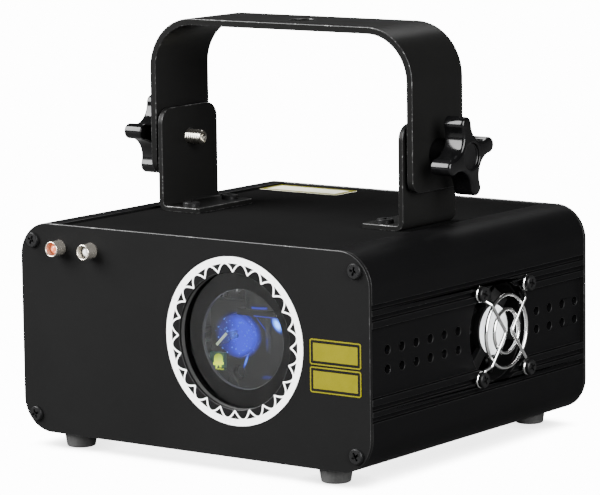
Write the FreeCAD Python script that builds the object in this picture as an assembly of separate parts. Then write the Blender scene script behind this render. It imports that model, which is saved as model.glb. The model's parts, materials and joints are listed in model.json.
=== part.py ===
import FreeCAD, Part
import math
import os

# Laser show projector: a small extruded housing with a round beam window, a side fan and a tilting strap yoke.
# Millimetres. The origin lies on the floor midway between the four feet, +Z up, the window facing -Y.

# Housing: two extruded side profiles, two sunk covers and two end panels
body_width = 161.0
body_depth = 145.0
body_height = 80.0
corner_radius = 13.0
panel_thickness = 1.5
profile_wall = 4.0
rim_width = 18.0
ledge_width = 7.5
cover_drop = 0.8
cover_thickness = 1.5
cover_slot_depth = 3.0
cover_slot_play = 0.1
recess_inset = 27.3
groove_depth = 2.0
groove_height = 2.0
groove_pitch = 4.0
groove_land = 2.5
grooves_each_way = 2

# Clearances shared by everything that fits together
screw_clearance = 0.1
seat_gap = 0.2
turning_gap = 0.1
shaft_clearance = 0.05

# Screws that hold the end panels to the screw channels of the profiles
panel_screw_inset_x = 6.1
panel_screw_inset_z = 6.7
panel_screw_diameter = 3.0
panel_screw_head = 5.7
panel_screw_head_height = 1.8
panel_screw_length = 10.0
screw_channel_diameter = 6.8

# Feet
foot_height = 5.5
foot_top_diameter = 12.7
foot_bottom_diameter = 10.7
foot_edge_radius = 0.8
foot_from_lip = 3.0
foot_inset_y = 8.0
foot_screw_diameter = 3.0
foot_screw_head = 4.8
foot_screw_head_height = 1.8
foot_screw_recess = 3.2

# Vents in the side profiles
vent_diameter = 3.4
vent_pitch = 9.06
vent_row_spacing = 7.0
vent_columns_front = 6
vent_columns_rear = 4
vent_columns_left = 14
vent_gap_to_fan = 26.7

# Brackets on the top cover
bracket_thickness = 2.0
bracket_width = 35.0
bracket_height = 39.5
bracket_foot = 19.2
bracket_bend_radius = 3.5
bracket_top_radius = 6.0
bracket_foot_radius = 1.5
bracket_screw_spacing = 24.4
bracket_screw_offset = 11.7
bracket_screw_diameter = 4.0
bracket_screw_head = 6.6
bracket_screw_head_height = 1.6
bracket_nut_width = 7.0
bracket_nut_thickness = 3.2
bracket_screw_overrun = 0.8

# Yoke
yoke_inset = 19.35
yoke_thickness = 2.6
yoke_depth = 33.4
yoke_rise = 47.5
yoke_drop = 13.3
yoke_bend_radius = 20.0
yoke_end_radius = 5.0
yoke_hole_diameter = 10.0
pivot_height = 27.3
washer_thickness = 1.25
washer_diameter = 16.0

# Star knobs and their studs
knob_lobes = 4
knob_lobe_circle = 24.6
knob_lobe_radius = 3.0
knob_valley_radius = 7.2
knob_head_thickness = 8.7
knob_edge_radius = 1.2
knob_hub_diameter = 12.0
knob_hub_length = 6.4
knob_dish_diameter = 10.0
knob_dish_depth = 1.1
knob_dish_round = 0.5
knob_right_turn = 14.5
knob_left_turn = -10.0
stud_diameter = 5.8
stud_projection = 6.5
stud_depth_in_knob = 9.0
stud_tip_chamfer = 0.7

# Beam window
window_x = 20.2
window_z = 3.1
aperture_margin = 14.8
gasket_width = 4.0
gasket_thickness = 1.8
glass_thickness = 3.0
retainer_wall = 1.8
retainer_flange = 1.6
retainer_lip = 6.8

# Indicators
indicator_inset = 19.0
indicator_spacing = 15.3
indicator_drop = 8.85
bezel_diameter = 5.8
bezel_wall = 0.45
bezel_length = 5.0
bezel_collar_diameter = 7.6
bezel_collar_length = 1.2
bezel_tail = 3.0
lamp_recess = 1.3

# Fan and its guard
fan_y = 13.3
fan_size = 40.0
fan_depth = 10.0
fan_corner_radius = 3.5
fan_bore = 37.4
fan_opening = 38.0
fan_hole_spacing = 32.0
fan_screw_diameter = 2.9
fan_screw_head = 5.8
fan_screw_head_height = 1.6
fan_nut_width = 5.5
fan_nut_thickness = 2.4
fan_hub_diameter = 20.8
fan_hub_thickness = 2.2
fan_struts = 3
fan_strut_width = 4.5
fan_strut_start = 105.0
fan_bush_diameter = 5.2
fan_bush_length = 4.0
fan_shaft_diameter = 3.0
rotor_hub_diameter = 19.0
rotor_tip_clearance = 0.6
rotor_back_gap = 0.6
rotor_front_gap = 0.5
rotor_pocket_gap = 0.4
rotor_blades = 7
blade_chord = 7.0
blade_thickness = 0.9
blade_root_pitch = 42.0
blade_tip_pitch = 28.0
guard_wire = 1.4
guard_outer_ring = 27.4
guard_inner_ring = 16.4
guard_eyelet = 4.9
guard_rise = 2.0
guard_shoulder = 11.4
guard_vertex = 2.0
guard_flat_leg = 4.1
guard_step_bend = 0.9
guard_vertex_bend = 2.0
guard_weld = 0.35

# Optical bench and what stands on it
bench_setback = 14.0
bench_left = 34.0
bench_side_gap = 4.8
bench_length = 76.0
bench_thickness = 2.5
bench_gap_below = 6.0
bench_gap_above = 4.7
bench_standoff_diameter = 6.0
bench_standoff_inset = 5.0
beam_drop = 3.6
scanner_setback = 28.0
scanner_plate_left = 32.5
scanner_plate_width = 41.0
scanner_plate_thickness = 3.0
scanner_shelf_rise = 7.0
scanner_shelf_thickness = 2.5
scanner_shelf_reach = 14.0
scanner_shelf_width = 18.0
motor_diameter = 16.4
motor_length = 13.0
motor_face_proud = 1.5
motor_y_left = 19.5
motor_bore_depth = 8.0
mirror_shaft_diameter = 2.0
mirror_width = 6.5
mirror_length = 7.0
mirror_thickness = 0.9
mirror_angle = 45.0
beam_hole_diameter = 5.0
laser_drop = 14.0
fold_mirror_width = 6.0
fold_mirror_length = 8.0
blue_laser_width = 20.0
red_laser_width = 16.0
red_laser_length = 22.0
red_laser_offset = 14.0
laser_nose_diameter = 9.0
laser_nose_length = 5.0
laser_fin_count = 5
laser_fin_slot = 1.6
laser_fin_depth = 4.0
laser_mount_width = 12.0
combiner_setback = 49.0
combiner_to_laser = 6.0
combiner_size = 13.0
optics_thickness = 1.1
combiner_post = 8.0
lamp_board_left = 30.0
lamp_board_width = 6.6
lamp_board_setback = 4.0
lamp_board_thickness = 1.6
lamp_below_window = 12.6
status_lamp_diameter = 3.2
status_lamp_length = 4.6
lamp_board_top = 2.4
lamp_inset = 4.5

# Power supply and control board
supply_gap = 2.0
supply_setback = 26.0
supply_width = 24.0
supply_length = 60.0
supply_height = 24.0
supply_edge_radius = 1.2
board_standoff_height = 5.0
board_standoff_diameter = 4.4
board_standoff_inset = 3.4
board_thickness = 1.6
capacitor_diameter = 6.0
capacitor_height = 9.0
capacitor_pitch = 8.0
capacitor_count = 3
chip_width = 9.0
chip_length = 11.0
chip_height = 2.0
header_width = 5.0
header_length = 14.0
header_height = 7.0

# Room on the rear panel: its clear ends, and the gaps along its row of connectors and up its two columns
rear_margin = 9.0
rear_row_gaps = (3.8, 6.3, 4.0, 13.0, 16.5)
inlet_column_gaps = (12.5, 8.5, 13.0)
display_column_gaps = (9.0, 4.0, 3.0, 14.0)

# Mains inlet
inlet_width = 27.0
inlet_height = 19.6
inlet_flange_margin = 2.2
inlet_flange_thickness = 2.0
inlet_depth = 22.0
inlet_cavity_width = 24.4
inlet_cavity_height = 16.6
inlet_cavity_depth = 17.0
inlet_cavity_chamfer = 4.0
inlet_pin_length = 11.0
inlet_pin_width = 2.0
inlet_pin_height = 4.0
inlet_pin_spacing = 7.0
inlet_pin_rise = 2.0

# Rocker switch
switch_width = 13.0
switch_height = 19.0
switch_depth = 14.0
switch_flange_margin = 1.5
switch_flange_thickness = 1.6
switch_wall = 1.3
switch_cavity_depth = 10.5
rocker_side_gap = 0.3
rocker_half_height = 7.2
rocker_pivot_depth = 3.5
rocker_face_rise = 3.5
rocker_belly = 5.4
rocker_tilt = 9.0
rocker_pin_diameter = 2.0
rocker_pin_length = 0.9

# Round signal sockets
socket_flange_width = 26.0
socket_flange_height = 31.0
socket_flange_thickness = 1.6
socket_flange_radius = 3.0
socket_body_diameter = 23.6
socket_depth = 18.0
socket_bore = 19.2
socket_bore_depth = 13.0
socket_pin_diameter = 2.4
socket_pin_length = 7.0
socket_pin_circle = 9.0
socket_insert_diameter = 14.0
socket_insert_setback = 1.5
socket_screw_spacing_x = 19.0
socket_screw_spacing_z = 24.0
socket_screw_diameter = 2.9
socket_screw_head = 5.2
socket_screw_head_height = 1.6
socket_screw_length = 6.0

# Display, menu buttons and sensitivity control on the rear panel
display_x = 2.0
display_width = 36.0
display_height = 12.0
panel_board_width = 52.0
panel_board_above = 2.45
panel_board_below = 4.55
panel_board_gap = 7.0
panel_board_standoff_diameter = 4.0
panel_board_standoff_inset = 2.6
menu_button_count = 4
menu_button_pitch = 12.0
menu_button_diameter = 5.0
menu_button_proud = 1.6
menu_button_flange_diameter = 7.0
menu_button_flange_thickness = 0.8
menu_button_stem_diameter = 2.4
menu_button_travel = 0.8
switch_block_width = 6.0
switch_block_height = 3.4
pot_diameter = 16.0
pot_depth = 8.0
pot_bush_diameter = 7.0
pot_bush_length = 3.0
pot_bore_depth = 9.0
control_shaft_diameter = 4.0
control_knob_diameter = 13.0
control_knob_height = 10.0
control_knob_edge = 1.0
control_knob_lift = 0.4
control_knob_pocket_gap = 0.5
control_knob_flutes = 12
control_knob_flute_diameter = 1.8

# Places worked out from the sizes above
V = FreeCAD.Vector
X = V(1, 0, 0)
Y = V(0, 1, 0)
Z = V(0, 0, 1)
half_width = body_width / 2
front_y = -body_depth / 2
rear_y = body_depth / 2
front_inner_y = front_y + panel_thickness
rear_inner_y = rear_y - panel_thickness
floor_z = foot_height
roof_z = floor_z + body_height
middle_z = (floor_z + roof_z) / 2
lip_x = half_width - rim_width
ledge_x = lip_x - ledge_width
slot_x = lip_x + cover_slot_depth
cover_seat = cover_drop + cover_slot_play + cover_thickness
inner_floor_z = floor_z + cover_drop + cover_thickness
cover_top_z = roof_z - cover_seat + cover_thickness
foot_x = lip_x - foot_from_lip
pivot_z = cover_top_z + pivot_height
yoke_outer_x = half_width - yoke_inset
yoke_inner_x = yoke_outer_x - yoke_thickness
bracket_outer_x = yoke_inner_x - turning_gap - washer_thickness
stud_bore = stud_diameter / 2 + shaft_clearance
window_centre_z = middle_z + window_z
aperture_diameter = body_height - 2 * aperture_margin
retainer_opening = aperture_diameter - 2 * retainer_lip
gasket_back_y = front_inner_y + gasket_thickness
glass_back_y = gasket_back_y + glass_thickness
glass_radius = aperture_diameter / 2 + gasket_width
indicator_x = -half_width + indicator_inset
indicator_z = roof_z - indicator_drop
fan_front_x = half_width - profile_wall
fan_back_x = fan_front_x - fan_depth
fan_shift = fan_hole_spacing / 2
fan_hub_back_x = fan_front_x - fan_hub_thickness
eyelet_x = half_width + guard_wire / 2
bench_x = window_x - bench_left
bench_right_x = ledge_x - bench_side_gap
bench_y = front_inner_y + bench_setback
bench_back_y = bench_y + bench_length
beam_z = window_centre_z - beam_drop
scanner_y = front_inner_y + scanner_setback
shelf_z = window_centre_z + scanner_shelf_rise
shelf_top_z = shelf_z + scanner_shelf_thickness
scanner_right_x = window_x - scanner_plate_left + scanner_plate_width
beam_x = scanner_right_x - scanner_shelf_width / 2
laser_x = window_x - motor_y_left
laser_z = beam_z - laser_drop
scan_y = scanner_y - scanner_shelf_reach / 2
combiner_y = front_inner_y + combiner_setback
blue_laser_front = combiner_y + combiner_to_laser + laser_nose_length
blue_laser_length = bench_back_y - blue_laser_front
supply_x = -ledge_x + supply_gap
supply_y = front_inner_y + supply_setback
supply_top_z = inner_floor_z + supply_height
board_z = supply_top_z + board_standoff_height
panel_board_y = rear_inner_y - panel_board_gap
button_seat_y = panel_board_y + switch_block_height


def spread(low, high, sizes, gaps):
    """Centres of pieces in a row, the free room shared out beside and between them as the gaps are."""
    stretch = (high - low - sum(sizes)) / sum(gaps)
    centres = []
    edge = low
    for size, gap in zip(sizes, gaps):
        edge += gap * stretch
        centres.append(edge + size / 2)
        edge += size
    return centres


module_underside_z = laser_z - blue_laser_width / 2
bench_gaps = (bench_gap_below, bench_gap_above)
bench_middle_z, = spread(inner_floor_z, module_underside_z, [bench_thickness], bench_gaps)
bench_z = bench_middle_z - bench_thickness / 2
bench_top_z = bench_z + bench_thickness
inlet_flange_width = inlet_width + 2 * inlet_flange_margin
inlet_flange_height = inlet_height + 2 * inlet_flange_margin
switch_flange_height = switch_height + 2 * switch_flange_margin
row_widths = [inlet_flange_width, socket_flange_width, socket_flange_width, pot_diameter]
row_end = half_width - rear_margin
inlet_x, socket_input_x, socket_output_x, control_x = spread(-row_end, row_end, row_widths, rear_row_gaps)
switch_x = inlet_x
inlet_z, switch_z = spread(0, body_height, [inlet_flange_height, switch_flange_height], inlet_column_gaps)
column_heights = [socket_flange_height, menu_button_flange_diameter, display_height]
socket_z, menu_button_z, display_z = spread(0, body_height, column_heights, display_column_gaps)
control_z = socket_z
panel_board_top = display_z + display_height / 2 + panel_board_above
panel_board_low = menu_button_z - panel_board_below
panel_board_z = (panel_board_top + panel_board_low) / 2
panel_board_height = panel_board_top - panel_board_low


def block(x0, x1, y0, y1, z0, z1):
    return Part.makeBox(x1 - x0, y1 - y0, z1 - z0, V(x0, y0, z0))


def rod(diameter, start, direction, length):
    return Part.makeCylinder(diameter / 2, length, start, direction)


def rounded(shape, radius, direction, near=lambda point: True):
    """Round the straight edges that run along one direction, those only whose middle passes the test."""
    edges = []
    for edge in shape.Edges:
        straight = isinstance(edge.Curve, Part.Line)
        if straight and abs(edge.tangentAt(edge.FirstParameter).dot(direction)) > 0.999 and near(edge.CenterOfMass):
            edges.append(edge)
    return shape.makeFillet(radius, edges)


def softened(shape, radius, near):
    """Round every edge whose middle passes the test."""
    return shape.makeFillet(radius, [edge for edge in shape.Edges if near(edge.CenterOfMass)])


class Outline:
    """A closed outline of lines and arcs in the XZ plane."""

    def __init__(self, x, z):
        self.first = self.last = V(x, 0, z)
        self.edges = []

    def line(self, x, z):
        point = V(x, 0, z)
        self.edges.append(Part.LineSegment(self.last, point).toShape())
        self.last = point

    def arc(self, centre_x, centre_z, x, z):
        """A quarter turn or less about a centre."""
        centre = V(centre_x, 0, centre_z)
        point = V(x, 0, z)
        middle = (self.last + point) * 0.5 - centre
        middle = centre + middle.normalize() * (point - centre).Length
        self.edges.append(Part.Arc(self.last, middle, point).toShape())
        self.last = point

    def extruded(self, y0, y1):
        self.line(self.first.x, self.first.z)
        face = Part.Face(Part.Wire(self.edges))
        face.translate(V(0, y0, 0))
        return face.extrude(V(0, y1 - y0, 0))


def pan_screw(seat, direction, diameter, head, head_height, length):
    """A screw with its head's underside at the seat and its shank along the direction."""
    cap = rod(head, seat, direction * -1, head_height)
    top = seat - direction * head_height
    cap = softened(cap, head_height * 0.6, lambda point: (point - top).Length < 0.01)
    return cap.fuse(rod(diameter, seat, direction, length))


def hole(diameter, centre, direction, reach):
    """A cutter that runs the same distance both ways from its centre."""
    return rod(diameter, centre - direction * reach, direction, 2 * reach)


def panel_screw_places():
    places = []
    for side in (-1, 1):
        for z in (floor_z + panel_screw_inset_z, roof_z - panel_screw_inset_z):
            places.append((side * (half_width - panel_screw_inset_x), z))
    return places


def foot_places():
    y = body_depth / 2 - foot_inset_y
    return [(sx * foot_x, sy * y) for sx in (-1, 1) for sy in (-1, 1)]


def bracket_screw_places():
    x = bracket_outer_x - bracket_screw_offset
    y = bracket_screw_spacing / 2
    return [(sx * x, sy * y) for sx in (-1, 1) for sy in (-1, 1)]


def fan_screw_places():
    return [(fan_y + sy * fan_shift, middle_z + sz * fan_shift) for sy in (-1, 1) for sz in (-1, 1)]


def plain_profile():
    """The right-hand extrusion before any hole: grooved side, round corners, and slots that hold the covers."""
    arc_x = half_width - corner_radius
    low = floor_z + corner_radius
    high = roof_z - corner_radius
    inner_x = half_width - profile_wall
    recess = body_height / 2 - recess_inset
    bands = [(recess, -recess)]
    for index in range(grooves_each_way):
        start = recess + groove_land + index * groove_pitch
        bands.insert(0, (start + groove_height, start))
        bands.append((-start, -start - groove_height))
    section = Outline(lip_x, roof_z)
    section.line(arc_x, roof_z)
    section.arc(arc_x, high, half_width, high)
    for top, bottom in bands:
        section.line(half_width, middle_z + top)
        section.line(half_width - groove_depth, middle_z + top)
        section.line(half_width - groove_depth, middle_z + bottom)
        section.line(half_width, middle_z + bottom)
    section.line(half_width, low)
    section.arc(arc_x, low, arc_x, floor_z)
    section.line(lip_x, floor_z)
    section.line(lip_x, floor_z + cover_drop)
    section.line(slot_x, floor_z + cover_drop)
    section.line(slot_x, floor_z + cover_seat)
    section.line(ledge_x, floor_z + cover_seat)
    section.line(ledge_x, floor_z + profile_wall)
    section.line(arc_x, floor_z + profile_wall)
    section.arc(arc_x, low, inner_x, low)
    section.line(inner_x, high)
    section.arc(arc_x, high, arc_x, roof_z - profile_wall)
    section.line(ledge_x, roof_z - profile_wall)
    section.line(ledge_x, roof_z - cover_seat)
    section.line(slot_x, roof_z - cover_seat)
    section.line(slot_x, roof_z - cover_drop)
    section.line(lip_x, roof_z - cover_drop)
    profile = section.extruded(front_inner_y, rear_inner_y)
    length = rear_inner_y - front_inner_y
    for x, z in panel_screw_places():
        if x > 0:
            profile = profile.fuse(rod(screw_channel_diameter, V(x, front_inner_y, z), Y, length))
    for x, z in panel_screw_places():
        if x > 0:
            bore = panel_screw_diameter + 2 * screw_clearance
            profile = profile.cut(hole(bore, V(x, 0, z), Y, body_depth))
    for x, y in foot_places():
        if x > 0:
            bore = foot_screw_diameter + 2 * screw_clearance
            profile = profile.cut(hole(bore, V(x, y, floor_z), Z, profile_wall + screw_clearance))
    return profile.removeSplitter()


def vent_cutters(side, columns):
    cutters = []
    for y in columns:
        for row in (-1, 1):
            centre = V(side * half_width, y, middle_z + row * vent_row_spacing / 2)
            cutters.append(hole(vent_diameter, centre, X, 2 * profile_wall))
    return cutters


def side_profile_right():
    columns = [fan_y - vent_gap_to_fan - index * vent_pitch for index in range(vent_columns_front)]
    columns += [fan_y + vent_gap_to_fan + index * vent_pitch for index in range(vent_columns_rear)]
    cutters = vent_cutters(1, columns)
    cutters.append(hole(fan_opening, V(half_width, fan_y, middle_z), X, 2 * profile_wall))
    for y, z in fan_screw_places():
        bore = fan_screw_diameter + 2 * screw_clearance
        cutters.append(hole(bore, V(half_width, y, z), X, 2 * profile_wall))
    return plain_profile().cut(cutters)


def side_profile_left():
    first = -vent_pitch * (vent_columns_left - 1) / 2
    columns = [first + index * vent_pitch for index in range(vent_columns_left)]
    return plain_profile().mirror(V(0, 0, 0), X).cut(vent_cutters(-1, columns))


def end_panel(y0, y1):
    panel = block(-half_width, half_width, y0, y1, floor_z, roof_z)
    panel = rounded(panel, corner_radius, Y)
    for x, z in panel_screw_places():
        panel = panel.cut(hole(panel_screw_diameter + 2 * screw_clearance, V(x, y0, z), Y, 2 * panel_thickness))
    return panel


def front_panel():
    panel = end_panel(front_y, front_inner_y)
    cutters = [hole(aperture_diameter, V(window_x, front_y, window_centre_z), Y, 2 * panel_thickness)]
    for x in indicator_places():
        bore = bezel_diameter + 2 * shaft_clearance
        cutters.append(hole(bore, V(x, front_y, indicator_z), Y, 2 * panel_thickness))
    return panel.cut(cutters)


def rear_panel():
    panel = end_panel(rear_inner_y, rear_y)
    y0 = rear_inner_y - panel_thickness
    y1 = rear_y + panel_thickness
    cutters = []
    for x, z, width, height in (
        (inlet_x, inlet_z, inlet_width, inlet_height),
        (switch_x, switch_z, switch_width, switch_height),
        (display_x, display_z, display_width, display_height),
    ):
        wide = width / 2 + seat_gap
        tall = height / 2 + seat_gap
        cutters.append(block(x - wide, x + wide, y0, y1, floor_z + z - tall, floor_z + z + tall))
    for x in (socket_input_x, socket_output_x):
        bore = socket_body_diameter + 2 * seat_gap
        cutters.append(hole(bore, V(x, rear_y, floor_z + socket_z), Y, 2 * panel_thickness))
    for x, z in socket_screw_places():
        bore = socket_screw_diameter + 2 * screw_clearance
        cutters.append(hole(bore, V(x, rear_y, z), Y, 2 * panel_thickness))
    for x in menu_button_places():
        bore = menu_button_diameter + 2 * shaft_clearance
        cutters.append(hole(bore, V(x, rear_y, floor_z + menu_button_z), Y, 2 * panel_thickness))
    bore = pot_bush_diameter + 2 * shaft_clearance
    cutters.append(hole(bore, V(control_x, rear_y, floor_z + control_z), Y, 2 * panel_thickness))
    return panel.cut(cutters)


def cover(z):
    x = slot_x - seat_gap
    return block(-x, x, front_inner_y + seat_gap, rear_inner_y - seat_gap, z, z + cover_thickness)


def top_cover():
    bore = bracket_screw_diameter + 2 * screw_clearance
    cutters = [hole(bore, V(x, y, cover_top_z), Z, 2 * cover_thickness) for x, y in bracket_screw_places()]
    return cover(cover_top_z - cover_thickness).cut(cutters)


def bottom_plate():
    bore = foot_screw_diameter + 2 * screw_clearance
    cutters = [hole(bore, V(x, y, inner_floor_z), Z, 2 * cover_thickness) for x, y in foot_places()]
    return cover(floor_z + cover_drop).cut(cutters)


def panel_screws():
    screws = []
    for x, z in panel_screw_places():
        for seat_y, inward in ((front_y, Y), (rear_y, Y * -1)):
            screws.append(pan_screw(V(x, seat_y, z), inward, panel_screw_diameter, panel_screw_head,
                                    panel_screw_head_height, panel_screw_length))
    return Part.makeCompound(screws)


def rubber_feet():
    """Tapered feet that bear on the lips, with a spigot up to the sunk bottom plate."""
    feet = []
    for x, y in foot_places():
        foot = Part.makeCone(foot_bottom_diameter / 2, foot_top_diameter / 2, foot_height, V(x, y, 0), Z)
        foot = softened(foot, foot_edge_radius, lambda point: abs(point.z) < 0.01)
        spigot = 2 * (foot_from_lip - seat_gap)
        foot = foot.fuse(rod(spigot, V(x, y, foot_height - cover_drop), Z, 2 * cover_drop))
        foot = foot.cut(hole(foot_screw_diameter + 2 * screw_clearance, V(x, y, 0), Z, 2 * foot_height))
        recess = foot_screw_head + 4 * screw_clearance
        feet.append(foot.cut(hole(recess, V(x, y, 0), Z, foot_screw_recess)))
    return Part.makeCompound(feet)


def foot_screws():
    length = floor_z + profile_wall - foot_screw_recess
    screws = []
    for x, y in foot_places():
        screws.append(pan_screw(V(x, y, foot_screw_recess), Z, foot_screw_diameter, foot_screw_head,
                                foot_screw_head_height, length))
    return Part.makeCompound(screws)


def bracket(side):
    """A folded L: a foot on the cover, pointing inwards, and a round-topped upright that carries the pivot."""
    outer = bracket_outer_x
    bend = bracket_bend_radius
    base = cover_top_z
    top = base + bracket_height
    section = Outline(outer, top)
    section.line(outer, base + bend)
    section.arc(outer - bend, base + bend, outer - bend, base)
    section.line(outer - bracket_foot, base)
    section.line(outer - bracket_foot, base + bracket_thickness)
    section.line(outer - bend, base + bracket_thickness)
    section.arc(outer - bend, base + bend, outer - bracket_thickness, base + bend)
    section.line(outer - bracket_thickness, top)
    plate = section.extruded(-bracket_width / 2, bracket_width / 2)
    plate = rounded(plate, bracket_top_radius, X, lambda point: point.z > top - 0.01)
    plate = rounded(plate, bracket_foot_radius, Z, lambda point: point.x < outer - bracket_foot + 0.01)
    plate = plate.cut(hole(2 * stud_bore, V(outer, 0, pivot_z), X, 2 * bracket_thickness))
    for x, y in bracket_screw_places():
        if x > 0:
            bore = bracket_screw_diameter + 2 * screw_clearance
            plate = plate.cut(hole(bore, V(x, y, base), Z, 2 * bracket_thickness))
    return plate if side > 0 else plate.mirror(V(0, 0, 0), X)


def bracket_screws():
    length = bracket_thickness + cover_thickness + bracket_nut_thickness + bracket_screw_overrun
    screws = []
    for x, y in bracket_screw_places():
        seat = V(x, y, cover_top_z + bracket_thickness)
        screws.append(pan_screw(seat, Z * -1, bracket_screw_diameter, bracket_screw_head,
                                bracket_screw_head_height, length))
    return Part.makeCompound(screws)


def hex_nut(seat, direction, width, thickness, bore):
    """A hexagon nut with one face at the seat."""
    corner = width / math.sqrt(3)
    across = Z if abs(direction.z) < 0.5 else Y
    points = []
    for index in range(7):
        spoke = FreeCAD.Rotation(direction, 60 * index).multVec(across)
        points.append(seat + spoke * corner)
    nut = Part.Face(Part.makePolygon(points)).extrude(direction * thickness)
    return nut.cut(hole(bore, seat, direction, 2 * thickness))


def bracket_nuts():
    nuts = []
    bore = bracket_screw_diameter + 2 * shaft_clearance
    for x, y in bracket_screw_places():
        seat = V(x, y, cover_top_z - cover_thickness)
        nuts.append(hex_nut(seat, Z * -1, bracket_nut_width, bracket_nut_thickness, bore))
    return Part.makeCompound(nuts)


def friction_washers():
    washers = []
    for side in (-1, 1):
        start = V(side * bracket_outer_x, 0, pivot_z)
        washer = rod(washer_diameter, start, X * side, washer_thickness)
        washers.append(washer.cut(hole(2 * stud_bore, start, X, 2 * washer_thickness)))
    return Part.makeCompound(washers)


def yoke():
    """One flat strap bent into a U, its arms outside the brackets."""
    outer = yoke_outer_x
    inner = yoke_inner_x
    top = pivot_z + yoke_rise
    end = pivot_z - yoke_drop
    bend_z = top - yoke_bend_radius
    bend_x = outer - yoke_bend_radius
    strap = Outline(-outer, end)
    strap.line(-outer, bend_z)
    strap.arc(-bend_x, bend_z, -bend_x, top)
    strap.line(bend_x, top)
    strap.arc(bend_x, bend_z, outer, bend_z)
    strap.line(outer, end)
    strap.line(inner, end)
    strap.line(inner, bend_z)
    strap.arc(bend_x, bend_z, bend_x, top - yoke_thickness)
    strap.line(-bend_x, top - yoke_thickness)
    strap.arc(-bend_x, bend_z, -inner, bend_z)
    strap.line(-inner, end)
    shape = strap.extruded(-yoke_depth / 2, yoke_depth / 2)
    shape = rounded(shape, yoke_end_radius, X, lambda point: point.z < end + 0.01)
    shape = shape.cut(hole(2 * stud_bore, V(0, 0, pivot_z), X, body_width))
    return shape.cut(hole(yoke_hole_diameter, V(0, 0, top), Z, 2 * yoke_thickness))


def star_face(x, turn):
    """The knob head's outline at one x: round lobes joined by hollow arcs that meet them smoothly."""
    reach = knob_lobe_circle / 2
    depth = knob_valley_radius - knob_lobe_radius
    half_step = math.pi / knob_lobes
    hollow_reach = (reach ** 2 - depth ** 2) / (2 * (reach * math.cos(half_step) - depth))

    def at(radius, angle):
        return V(x, radius * math.cos(angle), pivot_z + radius * math.sin(angle))

    edges = []
    for index in range(knob_lobes):
        angle = math.radians(turn) + index * 2 * half_step
        lobe = at(reach, angle)
        joints = []
        for step in (-half_step, half_step):
            towards = at(hollow_reach, angle + step) - lobe
            joints.append(lobe + towards.normalize() * knob_lobe_radius)
        edges.append(Part.Arc(joints[0], at(reach + knob_lobe_radius, angle), joints[1]).toShape())
        next_lobe = at(reach, angle + 2 * half_step)
        towards = at(hollow_reach, angle + half_step) - next_lobe
        next_joint = next_lobe + towards.normalize() * knob_lobe_radius
        valley = at(knob_valley_radius, angle + half_step)
        edges.append(Part.Arc(joints[1], valley, next_joint).toShape())
    return Part.Face(Part.Wire(edges))


def knob_start_x():
    return yoke_outer_x + turning_gap


def knob(side, turn):
    """A star head on a short hub, with a shallow round dish in the middle of its face."""
    hub_x = side * knob_start_x()
    back_x = hub_x + side * knob_hub_length
    face_x = back_x + side * knob_head_thickness
    head = star_face(back_x, turn).extrude(V(side * knob_head_thickness, 0, 0))
    head = softened(head, knob_edge_radius, lambda point: abs(point.x - face_x) < 0.01)
    head = softened(head, knob_edge_radius / 2, lambda point: abs(point.x - back_x) < 0.01)
    dish_x = face_x - side * knob_dish_depth
    dish = rod(knob_dish_diameter, V(dish_x, 0, pivot_z), X * side, knob_dish_depth + 1)
    dish = softened(dish, knob_dish_round, lambda point: abs(point.x - dish_x) < 0.01)
    hub = rod(knob_hub_diameter, V(hub_x, 0, pivot_z), X * side, knob_hub_length + 1)
    shape = head.fuse(hub).removeSplitter()
    bore = stud_diameter + 2 * shaft_clearance
    shape = shape.cut(rod(bore, V(hub_x, 0, pivot_z), X * side, stud_depth_in_knob))
    axis = V(face_x, 0, pivot_z)
    return softened(shape.cut(dish), knob_dish_round, lambda point: (point - axis).Length < 0.01)


def knob_stud(side):
    """The threaded stud: from inside the knob, through yoke and bracket, to its chamfered tip."""
    end_x = knob_start_x() + stud_depth_in_knob
    tip_x = bracket_outer_x - bracket_thickness - stud_projection
    stud = rod(stud_diameter, V(side * end_x, 0, pivot_z), X * -side, end_x - tip_x)
    tip = [edge for edge in stud.Edges if abs(edge.CenterOfMass.x - side * tip_x) < 0.01]
    return stud.makeChamfer(stud_tip_chamfer, tip)


def window_disc(diameter, y0, y1):
    return rod(diameter, V(window_x, y0, window_centre_z), Y, y1 - y0)


def window_gasket():
    disc = window_disc(2 * glass_radius, front_inner_y, gasket_back_y)
    return disc.cut(window_disc(aperture_diameter, front_inner_y, gasket_back_y))


def window_glass():
    return window_disc(2 * glass_radius, gasket_back_y, glass_back_y)


def window_retainer():
    """A shallow cup on the back of the panel: its wall takes gasket and glass, its flange leaves a round port."""
    pocket = 2 * (glass_radius + seat_gap)
    back = glass_back_y + retainer_flange
    cup = window_disc(pocket + 2 * retainer_wall, front_inner_y, back)
    cup = cup.cut(window_disc(pocket, front_inner_y, glass_back_y))
    return cup.cut(window_disc(retainer_opening, front_inner_y, back))


def indicator_places():
    return (indicator_x, indicator_x + indicator_spacing)


def indicator_bezels():
    bezels = []
    for x in indicator_places():
        tip = V(x, front_y - bezel_length, indicator_z)
        length = bezel_length + panel_thickness + bezel_tail
        tube = rod(bezel_diameter, tip, Y, length)
        tube = tube.fuse(rod(bezel_collar_diameter, V(x, front_inner_y, indicator_z), Y, bezel_collar_length))
        bezels.append(tube.cut(rod(bezel_diameter - 2 * bezel_wall, tip, Y, length)))
    return Part.makeCompound(bezels)


def indicator_lamp(x):
    """A round-nosed lamp, sunk a little inside its bezel."""
    radius = bezel_diameter / 2 - bezel_wall - shaft_clearance
    nose = V(x, front_y - bezel_length + lamp_recess + radius, indicator_z)
    back = front_inner_y + bezel_tail
    barrel = rod(2 * radius, nose, Y, back - nose.y)
    return barrel.fuse(Part.makeSphere(radius, nose)).removeSplitter()


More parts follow.
